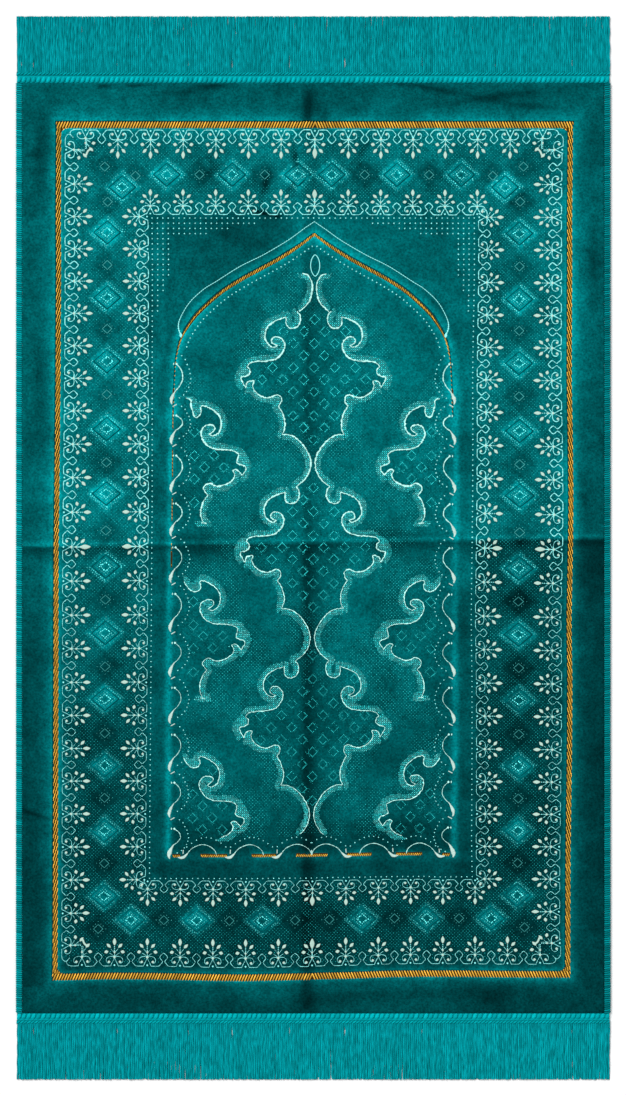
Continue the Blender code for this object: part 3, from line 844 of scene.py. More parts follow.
def pad(middle, direction, half_length, half_width, place, crown=0.45):
    """A raised petal or dot: a rounded lozenge, high along its middle. place puts its outline on the rug."""
    direction = np.asarray(direction, float) / np.hypot(*direction)
    across = np.array([-direction[1], direction[0]])
    turn = np.linspace(0, 2 * math.pi, 13)[:-1]
    c, s = np.cos(turn), np.sin(turn)
    u = np.sign(c) * np.abs(c) ** 1.45 * half_length
    v = np.sign(s) * np.abs(s) ** 1.45 * half_width
    ring = u[:, None] * direction + v[:, None] * across
    flat = place(np.vstack([middle + ring, middle + 0.76 * ring, [middle]]))
    area = np.sum(flat[:12, 0] * np.roll(flat[:12, 1], -1) - np.roll(flat[:12, 0], -1) * flat[:12, 1])
    height = pile_top(flat[:, 0], flat[:, 1]) + np.array([-0.2] * 12 + [crown * 0.9] * 12 + [crown])
    i = np.arange(12)
    j = (i + 1) % 12
    faces = np.concatenate([np.column_stack([i, j, j + 12, i + 12]),
                            np.column_stack([i + 12, j + 12, np.full(12, 24), np.full(12, 24)])])
    return np.column_stack([flat, height]), faces if area > 0 else faces[:, ::-1]


def as_faces(faces):
    """Rows of four with a repeated last number are triangles."""
    faces = np.asarray(faces)
    return [f[:3] if f[2] == f[3] else (f[1:] if f[0] == f[1] else f) for f in faces.tolist()]


def flower(place, corner_side=0, big=False):
    """One flower's petals and its lines. corner_side is the side on which it loses its petals, at a
    corner."""
    petals, lines = [], []
    stem = curve_through(FLOWER_STEM[:2] if not big else FLOWER_STEM, 2.0)
    lines.append(woven_line(place(stem), 2.0 if big else 1.3))
    if not corner_side:
        petals.append(pad((0.0, 25.8) if big else (0.0, 27.8), (0, 1), 6.8 if big else 4.8,
                          2.9 if big else 2.35, place))
    petals.append(pad((0.0, 10.2), (0, 1), 1.9, 1.8, place))
    petals.append(pad((0.0, 15.8), (0, 1), 1.8, 1.3, place))
    for up in (0.9,) if big else (0.9, 18.0, 20.0, 22.0):
        lines.append(pad((0.0, up), (0, 1), 1.2 if up < 1 else 0.7, 1.2 if up < 1 else 0.7, place, 0.35))
    for side in (-1, 1):
        for k, (line, width) in enumerate(FLOWER_LINES):
            if side != corner_side or k > 1:
                line = curve_through(np.array(line) * (side, 1), 1.7)
                lines.append(woven_line(place(line), width * 0.92))
        for k, (middle, direction, half_length, half_width) in enumerate(FLOWER_PETALS):
            if side != corner_side or k > 1:
                petals.append(pad(np.array(middle) * (side, 1), np.array(direction) * (side, 1), half_length,
                                  half_width, place))
    return petals, lines


def row_place(origin, across, up):
    """Puts a flower's own places on the rug: origin on the contour, with its two directions."""
    origin, across, up = (np.asarray(a, float) for a in (origin, across, up))

    def put(places):
        places = np.asarray(places, float)
        return laid(woven_at(origin + places[..., :1] * across + places[..., 1:] * up))

    return put


# Each row: its middle, the direction along it, the direction of its tips (longer or shorter than drawn), how
# many flowers stand on each side of the middle one, their pitch, and whether it is an outer row
rows = []
for side, outer_x, inner_x in ((-1, 293.1, 195.5), (1, 291.9, 194.2)):
    rows.append(((side * outer_x, 0), (0, 1), (-side * 1.02, 0), COLUMN_FLOWERS, RING_PITCH, True))
    rows.append(((side * inner_x, 0), (0, 1), (side * 0.94, 0), COLUMN_FLOWERS - 1, RING_PITCH, False))
for outer_y, inner_y, out, into in ((491.2, 391.9, 1.05, 0.94), (-492.8, -392.3, 1.01, 0.93)):
    head = math.copysign(1, outer_y)
    rows.append(((0, outer_y), (1, 0), (0, -head * out), ROW_FLOWERS, ROW_PITCH, True))
    rows.append(((0, inner_y), (1, 0), (0, head * into), ROW_FLOWERS - 1, ROW_PITCH, False))


def unstretched(y):
    """The even repeat's place that woven_at puts at y, so that the contours come at their measured places."""
    guess = y
    for _ in range(6):
        guess += y - float(woven_at([(0, guess)])[0][1])
    return guess


def running_line(place, start, gap):
    """The line from the flower at start to the next, a gap away, as two lines that cross in the middle."""
    made = []
    for side in (-1, 1):
        line = np.array(RUNNING_LINE) - (RING_PITCH / 2, 0)
        line[:, 0] *= np.where(line[:, 0] < 0, gap / RING_PITCH, 1.0)
        line = curve_through(line * (-side, 1) + (start + gap / 2, 0), 1.7)
        made.append(woven_line(place(line), RUNNING_LINE_WIDTH))
    return made


petal_parts, line_parts = [], []
for origin, across, up, count, pitch, outer in rows:
    origin = np.array(origin, float)
    if origin[1]:
        origin[1] = unstretched(origin[1])
    place = row_place(origin, across, up)
    for i in range(-count, count + 1):
        stands_at = origin + np.array(across, float) * i * pitch
        petals, lines = flower(row_place(stands_at, across, up), big=(i == 0))
        petal_parts += petals
        line_parts += lines
        if i < count:
            line_parts += running_line(place, i * pitch, pitch)
    if outer:
        for end in (-1, 1):
            corner_flower = unstretched(end * CONTOUR_HALF[1]) if across[1] else end * CONTOUR_HALF[0]
            gap = abs(corner_flower) - CORNER_FLOWER - count * pitch
            line_parts += running_line(place, count * pitch if end > 0 else -count * pitch - gap, gap)

# At each corner two flowers share a heart-shaped pair of petals on the diagonal, inside a rounded turn of the
# line
for side in (-1, 1):
    for head in (-1, 1):
        corner = np.array([side * CONTOUR_HALF[0], unstretched(head * CONTOUR_HALF[1])])
        into_x, into_y = np.array([-side, 0.0]), np.array([0.0, -head])
        upright = row_place(corner + into_y * CORNER_FLOWER, into_y, into_x)
        level = row_place(corner + into_x * CORNER_FLOWER, into_x, into_y)
        for place in (upright, level):
            petals, lines = flower(place, corner_side=-1)
            petal_parts += petals
            line_parts += lines
        diagonal = row_place(corner, into_x, into_y)
        joint = curve_through([(30.0, 22.6), (26.6, 25.6), (24.6, 30.5)], 1.5)
        petal_parts.append(yarn_strip(diagonal(joint), 2.6))
        turn_line = [(0, 19.8), (0, 11.0), (1.8, 6.9), (4.6, 5.5), (7.3, 7.3), (9.6, 9.6)]
        upright_line, level_line = [(25.2, 12.0), (25.0, 22.9)], [(12.0, 25.2), (22.9, 25.0)]
        for line, width in ((turn_line, 1.15), ([p[::-1] for p in turn_line], 1.15), (upright_line, 0.8),
                            (level_line, 0.8)):
            line = curve_through(line, 1.5)
            line_parts.append(woven_line(diagonal(line), width))

cream_yarn = yarn_material("cream_yarn", (0.49, 0.70, 0.61), 520.0, 0.25, 0.8, 0.02, own_shade=True)
fine_cream_yarn = yarn_material("fine_cream_yarn", (0.32, 1.0, 0.97), 520.0, 0.20, 0.8, 0.02, own_shade=True)
petal_points, petal_faces = joined(petal_parts)
make_piece("border_flower_petals", petal_points, as_faces(petal_faces), cream_yarn, "cream_yarn",
           faded(petal_points, 0.96))
flower_line_points, flower_line_faces = joined(line_parts)
make_piece("border_flower_lines", flower_line_points, as_faces(flower_line_faces), fine_cream_yarn,
           "cream_yarn",
           faded(flower_line_points, 1.0))
flower_points = np.vstack([petal_points, flower_line_points])


# ---- The border's diamonds ----
# Along the middle of the ring a bright raised diamond stands between every two dim ones. Each bright one has
# a pressed outline, whose shade is painted as a dark strip, and rings of light dots in and round it, and
# each dim one a thin outline of light yarn.

BRIGHT_OUTLINE = (15.6, 13.6)
# half width, half height, dots a side, dot size, how light
BRIGHT_RINGS = ((6.5, 5.4, 4, 0.95, 1.3), (10.8, 9.4, 6, 0.60, 0.8), (18.6, 16.4, 9, 0.82, 1.1),
                (21.8, 19.4, 10, 0.7, 0.8))
DIM_OUTLINE = (5.5, 5.3)


def diamond_line(middle, half_x, half_y):
    corners = np.array([(half_x, 0), (0, half_y), (-half_x, 0), (0, -half_y), (half_x, 0)]) + middle
    return np.vstack([corners[i] + (corners[i + 1] - corners[i]) * t for i in range(4) for t in (0, 0.5)]
                     + [corners[4]])


def tufts(places, sizes, crown=0.35):
    """Small four-sided tufts of yarn at places on the rug. sizes are half their widths."""
    places = np.asarray(places, float)
    sizes = np.broadcast_to(np.asarray(sizes, float), len(places))
    reach = np.array([(1, 0), (0, 1), (-1, 0), (0, -1), (0, 0)], float)
    flat = (places[:, None] + sizes[:, None, None] * reach).reshape(-1, 2)
    low = np.tile([-0.1, -0.1, -0.1, -0.1, crown], len(places))
    first = 5 * np.arange(len(places))[:, None]
    faces = np.concatenate([first + (i, (i + 1) % 4, 4) for i in range(4)])
    return np.column_stack([flat, pile_top(flat[:, 0], flat[:, 1]) + low]), faces


outline_shade_strips, thin = [], []
rings, ring_sizes, ring_light = [], [], []
for middle in bright_diamonds:
    line = diamond_line(middle, *BRIGHT_OUTLINE)
    bold = 1.0 if middle[1] > -180 else 0.6
    # The dark strip along each outline is painted shade of the sunk groove
    outline_shade_strips.append(yarn_strip(laid(line), bold * np.where(line[:, 1] < middle[1] + 1, 1.35, 0.85), -0.1, 0.3))
    for half_x, half_y, count, size, light in BRIGHT_RINGS:
        corners = np.array([(half_x, 0), (0, half_y), (-half_x, 0), (0, -half_y)])
        for i in range(4):
            for t in (np.arange(count) + 0.5 * (half_x > 15)) / count:
                if half_x < 15 or i in (0, 2) or chance.random() < 0.25:
                    rings.append(middle + corners[i] + (corners[(i + 1) % 4] - corners[i]) * t
                                 + chance.normal(0, 0.3, 2))
                    ring_sizes.append(size * chance.uniform(0.75, 1.2))
                    duller = 0.6 if half_x > 15 and middle[1] < -60 else 1
                    ring_light.append(light * chance.uniform(0.45, 1.2) * duller)
for middle in dim_diamonds:
    thin.append(yarn_strip(laid(diamond_line(middle, *DIM_OUTLINE)), 0.8, -0.2, 0.25))
    for turn in range(0, 360, 30):
        c, s = math.cos(math.radians(turn)), math.sin(math.radians(turn))
        rings.append(middle + 9.0 / (abs(c) + abs(s)) * np.array([c, s]))
        ring_sizes.append(0.55)
        ring_light.append(0.6 * chance.uniform(0.5, 1.2))

outline_shade_yarn = yarn_material("painted_outline_shade", (0.001, 0.052, 0.058), 500.0, 0.3, 0.9, 0.0)
light_yarn = yarn_material("light_teal_yarn", (0.16, 0.98, 0.95), 520.0, 0.2, 0.8, 0.0, own_shade=True)
ground_yarn = yarn_material("ground_teal_yarn", (0.05, 0.92, 0.92), 520.0, 0.2, 0.8, 0.0, own_shade=True)
make_piece("bright_diamond_outline_shade", *joined(outline_shade_strips), outline_shade_yarn, "velvet_pile")
thin_points, thin_faces = joined(thin)
make_piece("dim_diamond_outlines", thin_points, thin_faces, light_yarn, "cream_yarn",
           0.45 * faded(thin_points, 0.7))
ring_points, ring_faces = tufts(laid(rings), np.array(ring_sizes))
make_piece("diamond_dots", ring_points, ring_faces, light_yarn, "cream_yarn", 1.22 * np.repeat(ring_light, 5))


# ---- The border's ground of small dots ----
# Single light stitches in a close staggered grid over the ring, which thin out round each dim diamond.

DOT_ACROSS, DOT_DOWN = 4.0, 2.0


def dot_grid(x0, x1, y0, y1):
    """Places of the staggered grid of stitches inside a rectangle."""
    rows = np.arange(math.ceil(y0 / DOT_DOWN), math.floor(y1 / DOT_DOWN) + 1)
    columns = np.arange(math.ceil(x0 / DOT_ACROSS), math.floor(x1 / DOT_ACROSS) + 1)
    i, j = np.meshgrid(columns, rows)
    return np.column_stack([(i * DOT_ACROSS + (j % 2) * DOT_ACROSS / 2).ravel(), (j * DOT_DOWN).ravel()])


def beside(points, reach=1):
    """A test that says which places lie within about a millimetre or two of the given points."""
    columns, rows = 720, 1280
    taken = np.zeros((columns, rows), bool)
    i = np.clip((points[:, 0] + columns / 2).astype(int), reach, columns - reach - 1)
    j = np.clip((points[:, 1] + rows / 2).astype(int), reach, rows - reach - 1)
    for di in range(-reach, reach + 1):
        for dj in range(-reach, reach + 1):
            taken[i + di, j + dj] = True
    return lambda p: taken[np.clip((p[:, 0] + columns / 2).astype(int), 0, columns - 1),
                           np.clip((p[:, 1] + rows / 2).astype(int), 0, rows - 1)]


grid = dot_grid(-292, 292, -491, 491)
gx, gy = grid[:, 0], grid[:, 1]
outside = np.maximum(np.abs(gx) - INNER_CONTOUR_HALF[0], np.abs(gy) - INNER_CONTOUR_HALF[1])
inside = np.minimum(CONTOUR_HALF[0] - np.abs(gx), CONTOUR_HALF[1] - np.abs(gy))
grid = grid[(outside > 3) & (inside > 3)]
gx, gy = grid[:, 0], grid[:, 1]
dim = diamond_nearness(dim_diamonds, gx, gy, 21)
bright = diamond_nearness(bright_diamonds, gx, gy, 22)
inner = diamond_nearness(bright_diamonds, gx, gy, 17.5)
share = (0.62 + 0.38 * smooth(bright * 2.2)) * (1 - smooth(dim * 2.2))
keep = (share > 0.16) & ~beside(flower_points)(laid(grid)) & (inner < 0.02)
kept_share = share[keep]
dot_sizes = 0.48 + 0.30 * kept_share + chance.uniform(-0.08, 0.08, len(kept_share))
dot_points, dot_faces = tufts(laid(grid[keep]), dot_sizes)
row_light = np.where(grid[keep][:, 1] < 0, 0.90, 1.0) * chance.uniform(0.25, 1.6, len(kept_share))
make_piece("border_ground_dots", dot_points, dot_faces, ground_yarn, "cream_yarn",
           np.repeat((0.28 + 0.50 * kept_share ** 2) * row_light, 5))


# ---- The dotted corners inside the border ----
# Cream stitches in rows inside the border's inner line: one all the way round, and more of them stepping down
# towards the arch in the two upper corners.

SPOT_LEFT, SPOT_HEAD = -190.8, 387.8
SPOT_ACROSS, SPOT_DOWN = 6.33, 6.07
SPOT_COLUMNS, SPOT_ROWS = 61, 129
CORNER_ROWS = (30, 19, 14, 10)               # spots from the side, in each of the upper rows
CORNER_COLUMNS = (129, 19, 15, 12)           # and in each of the outer columns

spots = []
for i in range(SPOT_COLUMNS):
    for j in range(SPOT_ROWS):
        from_side = min(i, SPOT_COLUMNS - 1 - i)
        in_row = j < 4 and from_side <= CORNER_ROWS[j]
        in_column = from_side < 4 and j < CORNER_COLUMNS[from_side]
        if in_row or in_column or j == SPOT_ROWS - 1:
            spots.append((SPOT_LEFT + i * SPOT_ACROSS, SPOT_HEAD - j * SPOT_DOWN))
spots = laid(spots)


def spot_piece(name, places):
    """Rows of single cream stitches, smaller and duller towards the foot."""
    make_piece(name, *tufts(places, 1.10 * faded(places, 0.84)), fine_cream_yarn, "cream_yarn",
               np.repeat(faded(places, 1.08) * chance.uniform(0.8, 1.25, len(places)), 5))


spot_piece("corner_spots", spots)


# ---- The lines over the arch ----
# A beaded cream line runs outside the gold arch and a row of spots inside it, with a small leaf-shaped loop
# hanging under the arch's point.

OUTER_LINE = ((0.0, 383.6), (-15.3, 373.1), (-31.7, 361.4), (-59.8, 344.9), (-88.0, 330.8),
              (-115.2, 313.6), (-130.9, 303.7), (-147.1, 288.3), (-157.6, 270.4), (-159.9, 259.5),
              (-157.0, 250.1))
INNER_SPOTS_IN = 9.3
LOOP_MIDDLE, LOOP_HALF = (0.6, 332.0), (5.4, 12.6)

arch_parts = []
beaded = curve_through(OUTER_LINE, 1.5)
for line in (beaded, mirrored(beaded)):
    width = np.where(np.arange(len(line)) % 2 == 0, 1.15, 0.45)
    width = width * (1 + 0.8 * smooth((275 - line[:, 1]) / 20))
    arch_parts.append(yarn_strip(laid(line), width))
    arch_parts.append(pad(line[-1], (0, 1), 3.0, 1.8, laid))
leaf = [(LOOP_MIDDLE[0] + LOOP_HALF[0] * math.sin(t) * abs(math.sin(t)) ** 0.35,
         LOOP_MIDDLE[1] + LOOP_HALF[1] * math.cos(t))
        for t in np.linspace(0, 2 * math.pi, 29)]
arch_parts.append(yarn_strip(laid(leaf), 1.15))
arch_points, arch_faces = joined(arch_parts)
make_piece("arch_outer_line", arch_points, as_faces(arch_faces), fine_cream_yarn, "cream_yarn",
           faded(arch_points, 1))

along = np.gradient(arch_steps, axis=0)
along /= np.linalg.norm(along, axis=1)[:, None]
inward = np.column_stack([along[:, 1], -along[:, 0]])
inner_line = arch_steps + inward * INNER_SPOTS_IN
inner_line = inner_line[(inner_line[:, 0] < -1) & (inner_line[:, 1] > 236)]
gone = np.concatenate([[0], np.cumsum(np.linalg.norm(np.diff(inner_line, axis=0), axis=1))])
picked = inner_line[np.searchsorted(gone, np.arange(0, gone[-1], 5.5))]
spot_piece("arch_inner_spots", laid(np.vstack([picked, mirrored(picked)])))


# ---- The wavy line of the niche ----
# Down each side and along the foot of the niche a thin cream line swings in and out of the gold one. It
# swells to a comma where it meets it, and a row of spots follows its waves on the inner side.

ARC = ((-161.8, 0.0), (-159.6, 0.07), (-156.9, 0.19), (-155.2, 0.32), (-154.6, 0.47), (-154.8, 0.62),
       (-156.3, 0.73), (-158.0, 0.84), (-160.3, 0.94), (-162.2, 1.0))
COMMA = ((-162.2, 11.8, 1.0), (-164.6, 8.2, 1.9), (-166.6, 4.1, 3.3), (-167.8, 0.6, 4.6),
         (-168.0, -2.2, 3.6), (-167.0, -4.9, 1.0))
TICK = ((-166.3, -7.7), (-161.6, -5.1))
SPOT_ARC = ((-155.8, 0.16), (-151.6, 0.235), (-149.4, 0.33), (-147.0, 0.415), (-145.9, 0.50),
            (-145.0, 0.60), (-145.9, 0.68), (-147.4, 0.76), (-150.0, 0.84), (-153.4, 0.905),
            (-158.3, 0.96))
FOOT_STARTS, FOOT_NODES = (0.0, 56.8, 112.0), (42.0, 97.2, 152.4)
FOOT_ARC = ((0.0, 0.7), (0.05, 6.0), (0.14, 9.5), (0.26, 12.1), (0.38, 13.2), (0.49, 12.9), (0.61, 11.2),
            (0.73, 8.6), (0.83, 4.2), (0.90, 0.6))
FOOT_COMMA = ((0.84, 3.4, 1.4), (0.91, 0.4, 2.8), (0.97, -1.5, 3.8), (1.04, -1.8, 3.2), (1.13, -1.1, 1.2))

wave_parts, comma_parts, wave_spots = [], [], []
for k, node_y in enumerate(WAVE_NODES):
    above = WAVE_NODES[k - 1] if k else 250.0
    start_y = above - 18.5 if k else 216.0
    arc = curve_through([(ax, start_y + (node_y + 11.8 - start_y) * t) for ax, t in ARC], 1.7)
    comma = curve_through([(cx, node_y + cy) for cx, cy, _ in COMMA], 1.5)
    fatter = 1.25 if node_y == WAVE_NODES[-1] else 1.0
    width = fatter * np.interp(np.linspace(0, 5, len(comma)), range(6), [w for _, _, w in COMMA])
    for side in (1, -1):
        wave_parts.append(woven_line(laid(arc * (side, 1)), 1.7))
        for across, half_width in ((0.0, 1.5), (-3.3, 0.8)):
            wave_parts.append(pad((arc[0] + (across, 0.3)) * (side, 1), (0, 1), 1.5, half_width, laid))
        comma_parts.append(yarn_strip(laid(comma * (side, 1)),
                                      width * chance.uniform(0.85, 1.15, len(comma)), -0.2, 0.45))
        if k < len(WAVE_NODES) - 1:
            comma_parts.append(yarn_strip(laid((np.array(TICK) + (0, node_y)) * (side, 1)), 1.3))
    spots_from = 236.0 if k == 0 else above
    wave_spots += [(sx, spots_from - (spots_from - node_y) * t) for sx, t in SPOT_ARC]
for start, node_x in zip(FOOT_STARTS, FOOT_NODES):
    reach = node_x - start
    arc = curve_through([(start + reach * t, NICHE_FOOT + up) for t, up in FOOT_ARC], 1.7)
    comma = curve_through([(start + reach * t, NICHE_FOOT + up) for t, up, _ in FOOT_COMMA], 1.5)
    width = np.interp(np.linspace(0, 4, len(comma)), range(5), [w for _, _, w in FOOT_COMMA])
    tick = np.array([(node_x - 1.0, NICHE_FOOT + 2.8), (node_x - 1.2, NICHE_FOOT + 7.4)])
    for side in (1, -1):
        wave_parts.append(woven_line(laid(arc * (side, 1)), 2.0))
        comma_parts.append(yarn_strip(laid(comma * (side, 1)), width, -0.2, 0.45))
        comma_parts.append(yarn_strip(laid(tick * (side, 1)), 1.3))
comma_parts.append(yarn_strip(laid([(0.0, NICHE_FOOT + 0.8), (0.0, NICHE_FOOT + 6.4)]), 1.7))
for a, c in ((-8.0, 43.5), (43.5, 98.5), (98.5, 150.0)):
    count = round((c - a) / 5.6)
    for i in range(count):
        t = (i + 0.5) / count
        if a + (c - a) * t > 0.5:
            wave_spots.append((-a - (c - a) * t, NICHE_FOOT + 8.4 + 13.2 * math.sin(math.pi * t)))

scroll_yarn = yarn_material("scroll_yarn", (0.50, 0.96, 0.88), 520.0, 0.25, 0.8, 0.02, own_shade=True)
comma_yarn = yarn_material("comma_yarn", (0.53, 0.74, 0.67), 520.0, 0.25, 0.8, 0.02, own_shade=True)


def uneven(points, foot_light, low, high):
    """How light woven lines look: as faded says, and each row of stitches a little lighter or darker."""
    each_row = np.repeat(chance.uniform(low, high, len(points) // 4 + 1), 4)
    return faded(points, foot_light) * each_row[:len(points)]


wave_points, wave_faces = joined(wave_parts)
make_piece("niche_wave_line", wave_points, as_faces(wave_faces), scroll_yarn, "cream_yarn",
           uneven(wave_points, 1.0, 0.8, 1.15))
comma_points, comma_faces = joined(comma_parts)
make_piece("niche_wave_commas", comma_points, comma_faces, comma_yarn, "cream_yarn",
           uneven(comma_points, 0.95, 0.9, 1.1))
wave_spots = np.array(wave_spots)
spot_piece("niche_wave_spots", laid(np.vstack([wave_spots, mirrored(wave_spots)])))


# ---- The scrolled cartouches ----
# Two scrolled lines, mirror images, make three leafy cartouches down the middle of the niche, and three half
# ones stand at each side. A cream line draws each, with a close cloud of light stitches on its hollow side.

SCROLL_HEAD = 278.1
SCROLL_REPEAT = 206.9
# The left scroll: each tuple is one smooth stroke, and two strokes meet at a point or a turned-in end
SCROLL_START = (
    ((-14.0, 44.0), (-8.0, 42.0), (-3.0, 33.5), (-2.5, 24.5), (-5.0, 14.0), (-10.0, 6.5), (-17.5, 0.0)),
)
SCROLL = (
    ((-20.0, 0.0), (-17.0, -4.0), (-16.3, -11.5), (-20.0, -18.0), (-27.0, -20.0), (-32.5, -16.0),
     (-33.2, -6.5)),
    ((-33.2, -6.5), (-44.5, -10.5), (-53.5, -16.5), (-57.5, -25.0), (-57.5, -33.0), (-53.0, -39.5),
     (-47.0, -42.3), (-43.2, -40.2)),
    ((-43.2, -40.2), (-48.5, -38.0), (-50.0, -34.0), (-47.0, -30.5), (-42.0, -30.2), (-37.0, -33.5),
     (-34.3, -40.0), (-37.0, -48.5), (-44.0, -55.5), (-55.0, -58.3), (-66.0, -58.8), (-75.0, -60.5),
     (-79.0, -65.0)),
    ((-79.0, -65.0), (-75.8, -68.5), (-76.0, -73.5), (-80.5, -76.3), (-85.5, -77.5), (-85.5, -81.0),
     (-80.5, -89.8)),
    ((-80.5, -89.8), (-79.0, -84.5), (-75.5, -82.0), (-71.0, -82.2), (-72.5, -87.0)),
    ((-72.5, -87.0), (-70.5, -93.0), (-64.0, -98.8), (-56.0, -101.7), (-49.5, -100.8), (-43.5, -98.3),
     (-38.8, -100.5), (-38.0, -106.0), (-41.5, -111.8)),
    ((-41.5, -111.8), (-37.0, -119.0), (-34.0, -129.0), (-34.0, -138.0), (-36.8, -145.0)),
    ((-36.8, -145.0), (-27.0, -146.0), (-17.0, -152.0), (-8.5, -162.5), (-3.2, -174.0), (-3.4, -186.0),
     (-9.5, -198.0), (-20.0, -206.9)),
)
HALF_HEAD = 176.0
HALF_REPEAT = 207.0
HALF_SCROLL_START = (
    ((-150.5, 0.0), (-146.5, -1.2), (-144.2, -4.0), (-145.0, -8.0), (-143.0, -14.5), (-140.8, -21.5),
     (-137.0, -22.3), (-133.2, -18.0), (-133.0, -13.5)),
)
HALF_LOBE = ((-151.1, -9.3), (-149.7, -12.7), (-144.8, -18.8), (-140.0, -21.6), (-135.0, -21.1),
             (-132.3, -17.9), (-132.3, -12.3))
HALF_SCROLL = (
    ((-133.2, -14.0), (-133.0, -10.5), (-130.0, -9.0), (-122.0, -12.2), (-114.5, -17.5), (-109.5, -25.5),
     (-109.5, -35.0), (-113.0, -41.5), (-119.0, -44.6), (-123.5, -42.5)),
    ((-123.5, -42.5), (-119.0, -39.6), (-116.5, -36.0), (-118.5, -32.8), (-125.0, -31.8), (-130.5, -35.0),
     (-132.8, -41.5), (-130.5, -49.5), (-124.5, -56.5), (-115.5, -60.3), (-104.0, -60.8), (-94.5, -62.3),
     (-88.3, -66.0)),
    ((-88.3, -66.0), (-89.2, -71.0), (-90.3, -76.3), (-86.0, -78.9), (-81.2, -80.5), (-80.0, -84.5),
     (-84.3, -91.2)),
    ((-84.3, -91.2), (-88.0, -86.5), (-92.0, -84.3), (-95.6, -85.6)),
    ((-95.6, -85.6), (-93.0, -91.0), (-95.5, -97.0), (-102.5, -101.6), (-111.0, -104.3), (-117.0, -103.2),
     (-122.0, -100.8), (-127.0, -102.8), (-129.5, -107.6), (-124.5, -115.0)),
    ((-124.5, -115.0), (-129.0, -121.0), (-132.2, -131.0), (-132.4, -139.5), (-129.8, -146.6)),
    ((-131.8, -147.4), (-126.0, -148.4)),
)
HALF_FOOT = ((-139.5, -147.8), (-120.0, -147.8), (-119.0, -152.2), (-135.5, -152.2))
SCROLL_FOOT, HALF_SCROLL_FOOT = -338.0, -343.0     # below these the niche's foot cuts them off
LAST_STROKE_FROM = -107.0
SCROLL_WIDTH = 1.55
CLOUD_WIDTH = 7.4
CLOUD_SPACING = (2.36, 1.18)
# The cloud passes straight over the notch in each cartouche's tip
NOTCH = ((-79.0, -65.0), (-86.5, -78.0), (-80.5, -89.8))
HALF_NOTCH = ((-88.3, -66.0), (-80.5, -79.5), (-84.3, -91.2))


def strokes_at(strokes, head):
    """The strokes of a scroll as smooth lines, hung from the head."""
    return [curve_through(np.array(stroke) + (0, head), 1.6) for stroke in strokes]


def cut_below(lines, foot):
    return [line[line[:, 1] > foot] for line in lines if (line[:, 1] > foot).sum() > 2]


scroll_lines = strokes_at(SCROLL_START, SCROLL_HEAD)
for k in range(3):
    scroll_lines += strokes_at(SCROLL, SCROLL_HEAD - k * SCROLL_REPEAT)
half_lines = []
for k in range(3):
    half_lines += strokes_at(HALF_SCROLL_START if k == 0 else (), HALF_HEAD)
    if k:
        half_lines += strokes_at((HALF_LOBE,), HALF_HEAD - k * HALF_REPEAT)
    lines = strokes_at(HALF_SCROLL, HALF_HEAD - k * HALF_REPEAT)
    half_lines += cut_below(lines, HALF_SCROLL_FOOT)
half_lines[-1] = half_lines[-1][half_lines[-1][:, 0] > LAST_STROKE_FROM]
scroll_lines = cut_below(scroll_lines, SCROLL_FOOT)

scroll_parts = []
for line in scroll_lines + half_lines:
    swell = SCROLL_WIDTH * (1 + 0.35 * np.sin(np.linspace(0, math.pi, len(line))) - 0.25)
    for one in (line, mirrored(line)):
        rough = laid(one) + chance.normal(0, 0.22, one.shape)
        scroll_parts.append(woven_line(rough, swell * 1.42))
scroll_points, scroll_faces = joined(scroll_parts)
make_piece("cartouche_scrolls", scroll_points, scroll_faces, scroll_yarn, "cream_yarn",
           uneven(scroll_points, 1.18, 0.78, 1.22))


def enclosed(outline, places):
    """Which places lie inside a closed outline."""
    inside = np.zeros(len(places), bool)
    px, py = places[:, 0], places[:, 1]
    for (ax, ay), (bx, by) in zip(outline, np.roll(outline, -1, axis=0)):
        crosses = (ay > py) != (by > py)
        inside ^= crosses & (px < (bx - ax) * (py - ay) / (by - ay + 1e-12) + ax)
    return inside


def cloud(lines, notches, filled, towards, box):
    """Close scattered stitches within the cloud's width of some lines, on one side of them."""
    x0, x1, y0, y1 = box
    across, down = CLOUD_SPACING
    i, j = np.meshgrid(np.arange(int((x1 - x0) / across)), np.arange(int((y1 - y0) / down)))
    places = np.column_stack([(x0 + (i + 0.5 * (j % 2)) * across).ravel(), (y0 + j * down).ravel()])
    places = places + chance.uniform(-0.22, 0.22, places.shape)
    nearest, side = np.full(len(places), 1e9), np.zeros(len(places))
    for line in lines:
        close = np.abs(places[:, 1] - line[:, 1].mean()) < np.ptp(line[:, 1]) / 2 + CLOUD_WIDTH + 3
        away, which_side = distance_to(line[::2] if len(line) > 6 else line, places[close, 0],
                                       places[close, 1])
        better = away < nearest[close]
        numbers = np.flatnonzero(close)[better]
        nearest[numbers], side[numbers] = away[better], which_side[better]
    over = nearest.copy()
    for notch in notches:
        over = np.minimum(over, distance_to(notch, places[:, 0], places[:, 1])[0] - 0.8)
    edge = CLOUD_WIDTH * (0.90 + 0.10 * np.sin(places[:, 0] / 5 + places[:, 1] / 7))
    kept = (side * towards > 0) & (nearest > 0.9) & (over < edge)
    for outline in filled:
        within = enclosed(outline, places)
        kept, over = kept | within, np.where(within, 0.4 * CLOUD_WIDTH, over)
    return places[kept], np.clip(over[kept], 0, None) / CLOUD_WIDTH, (j.ravel() % 2 == 0)[kept]


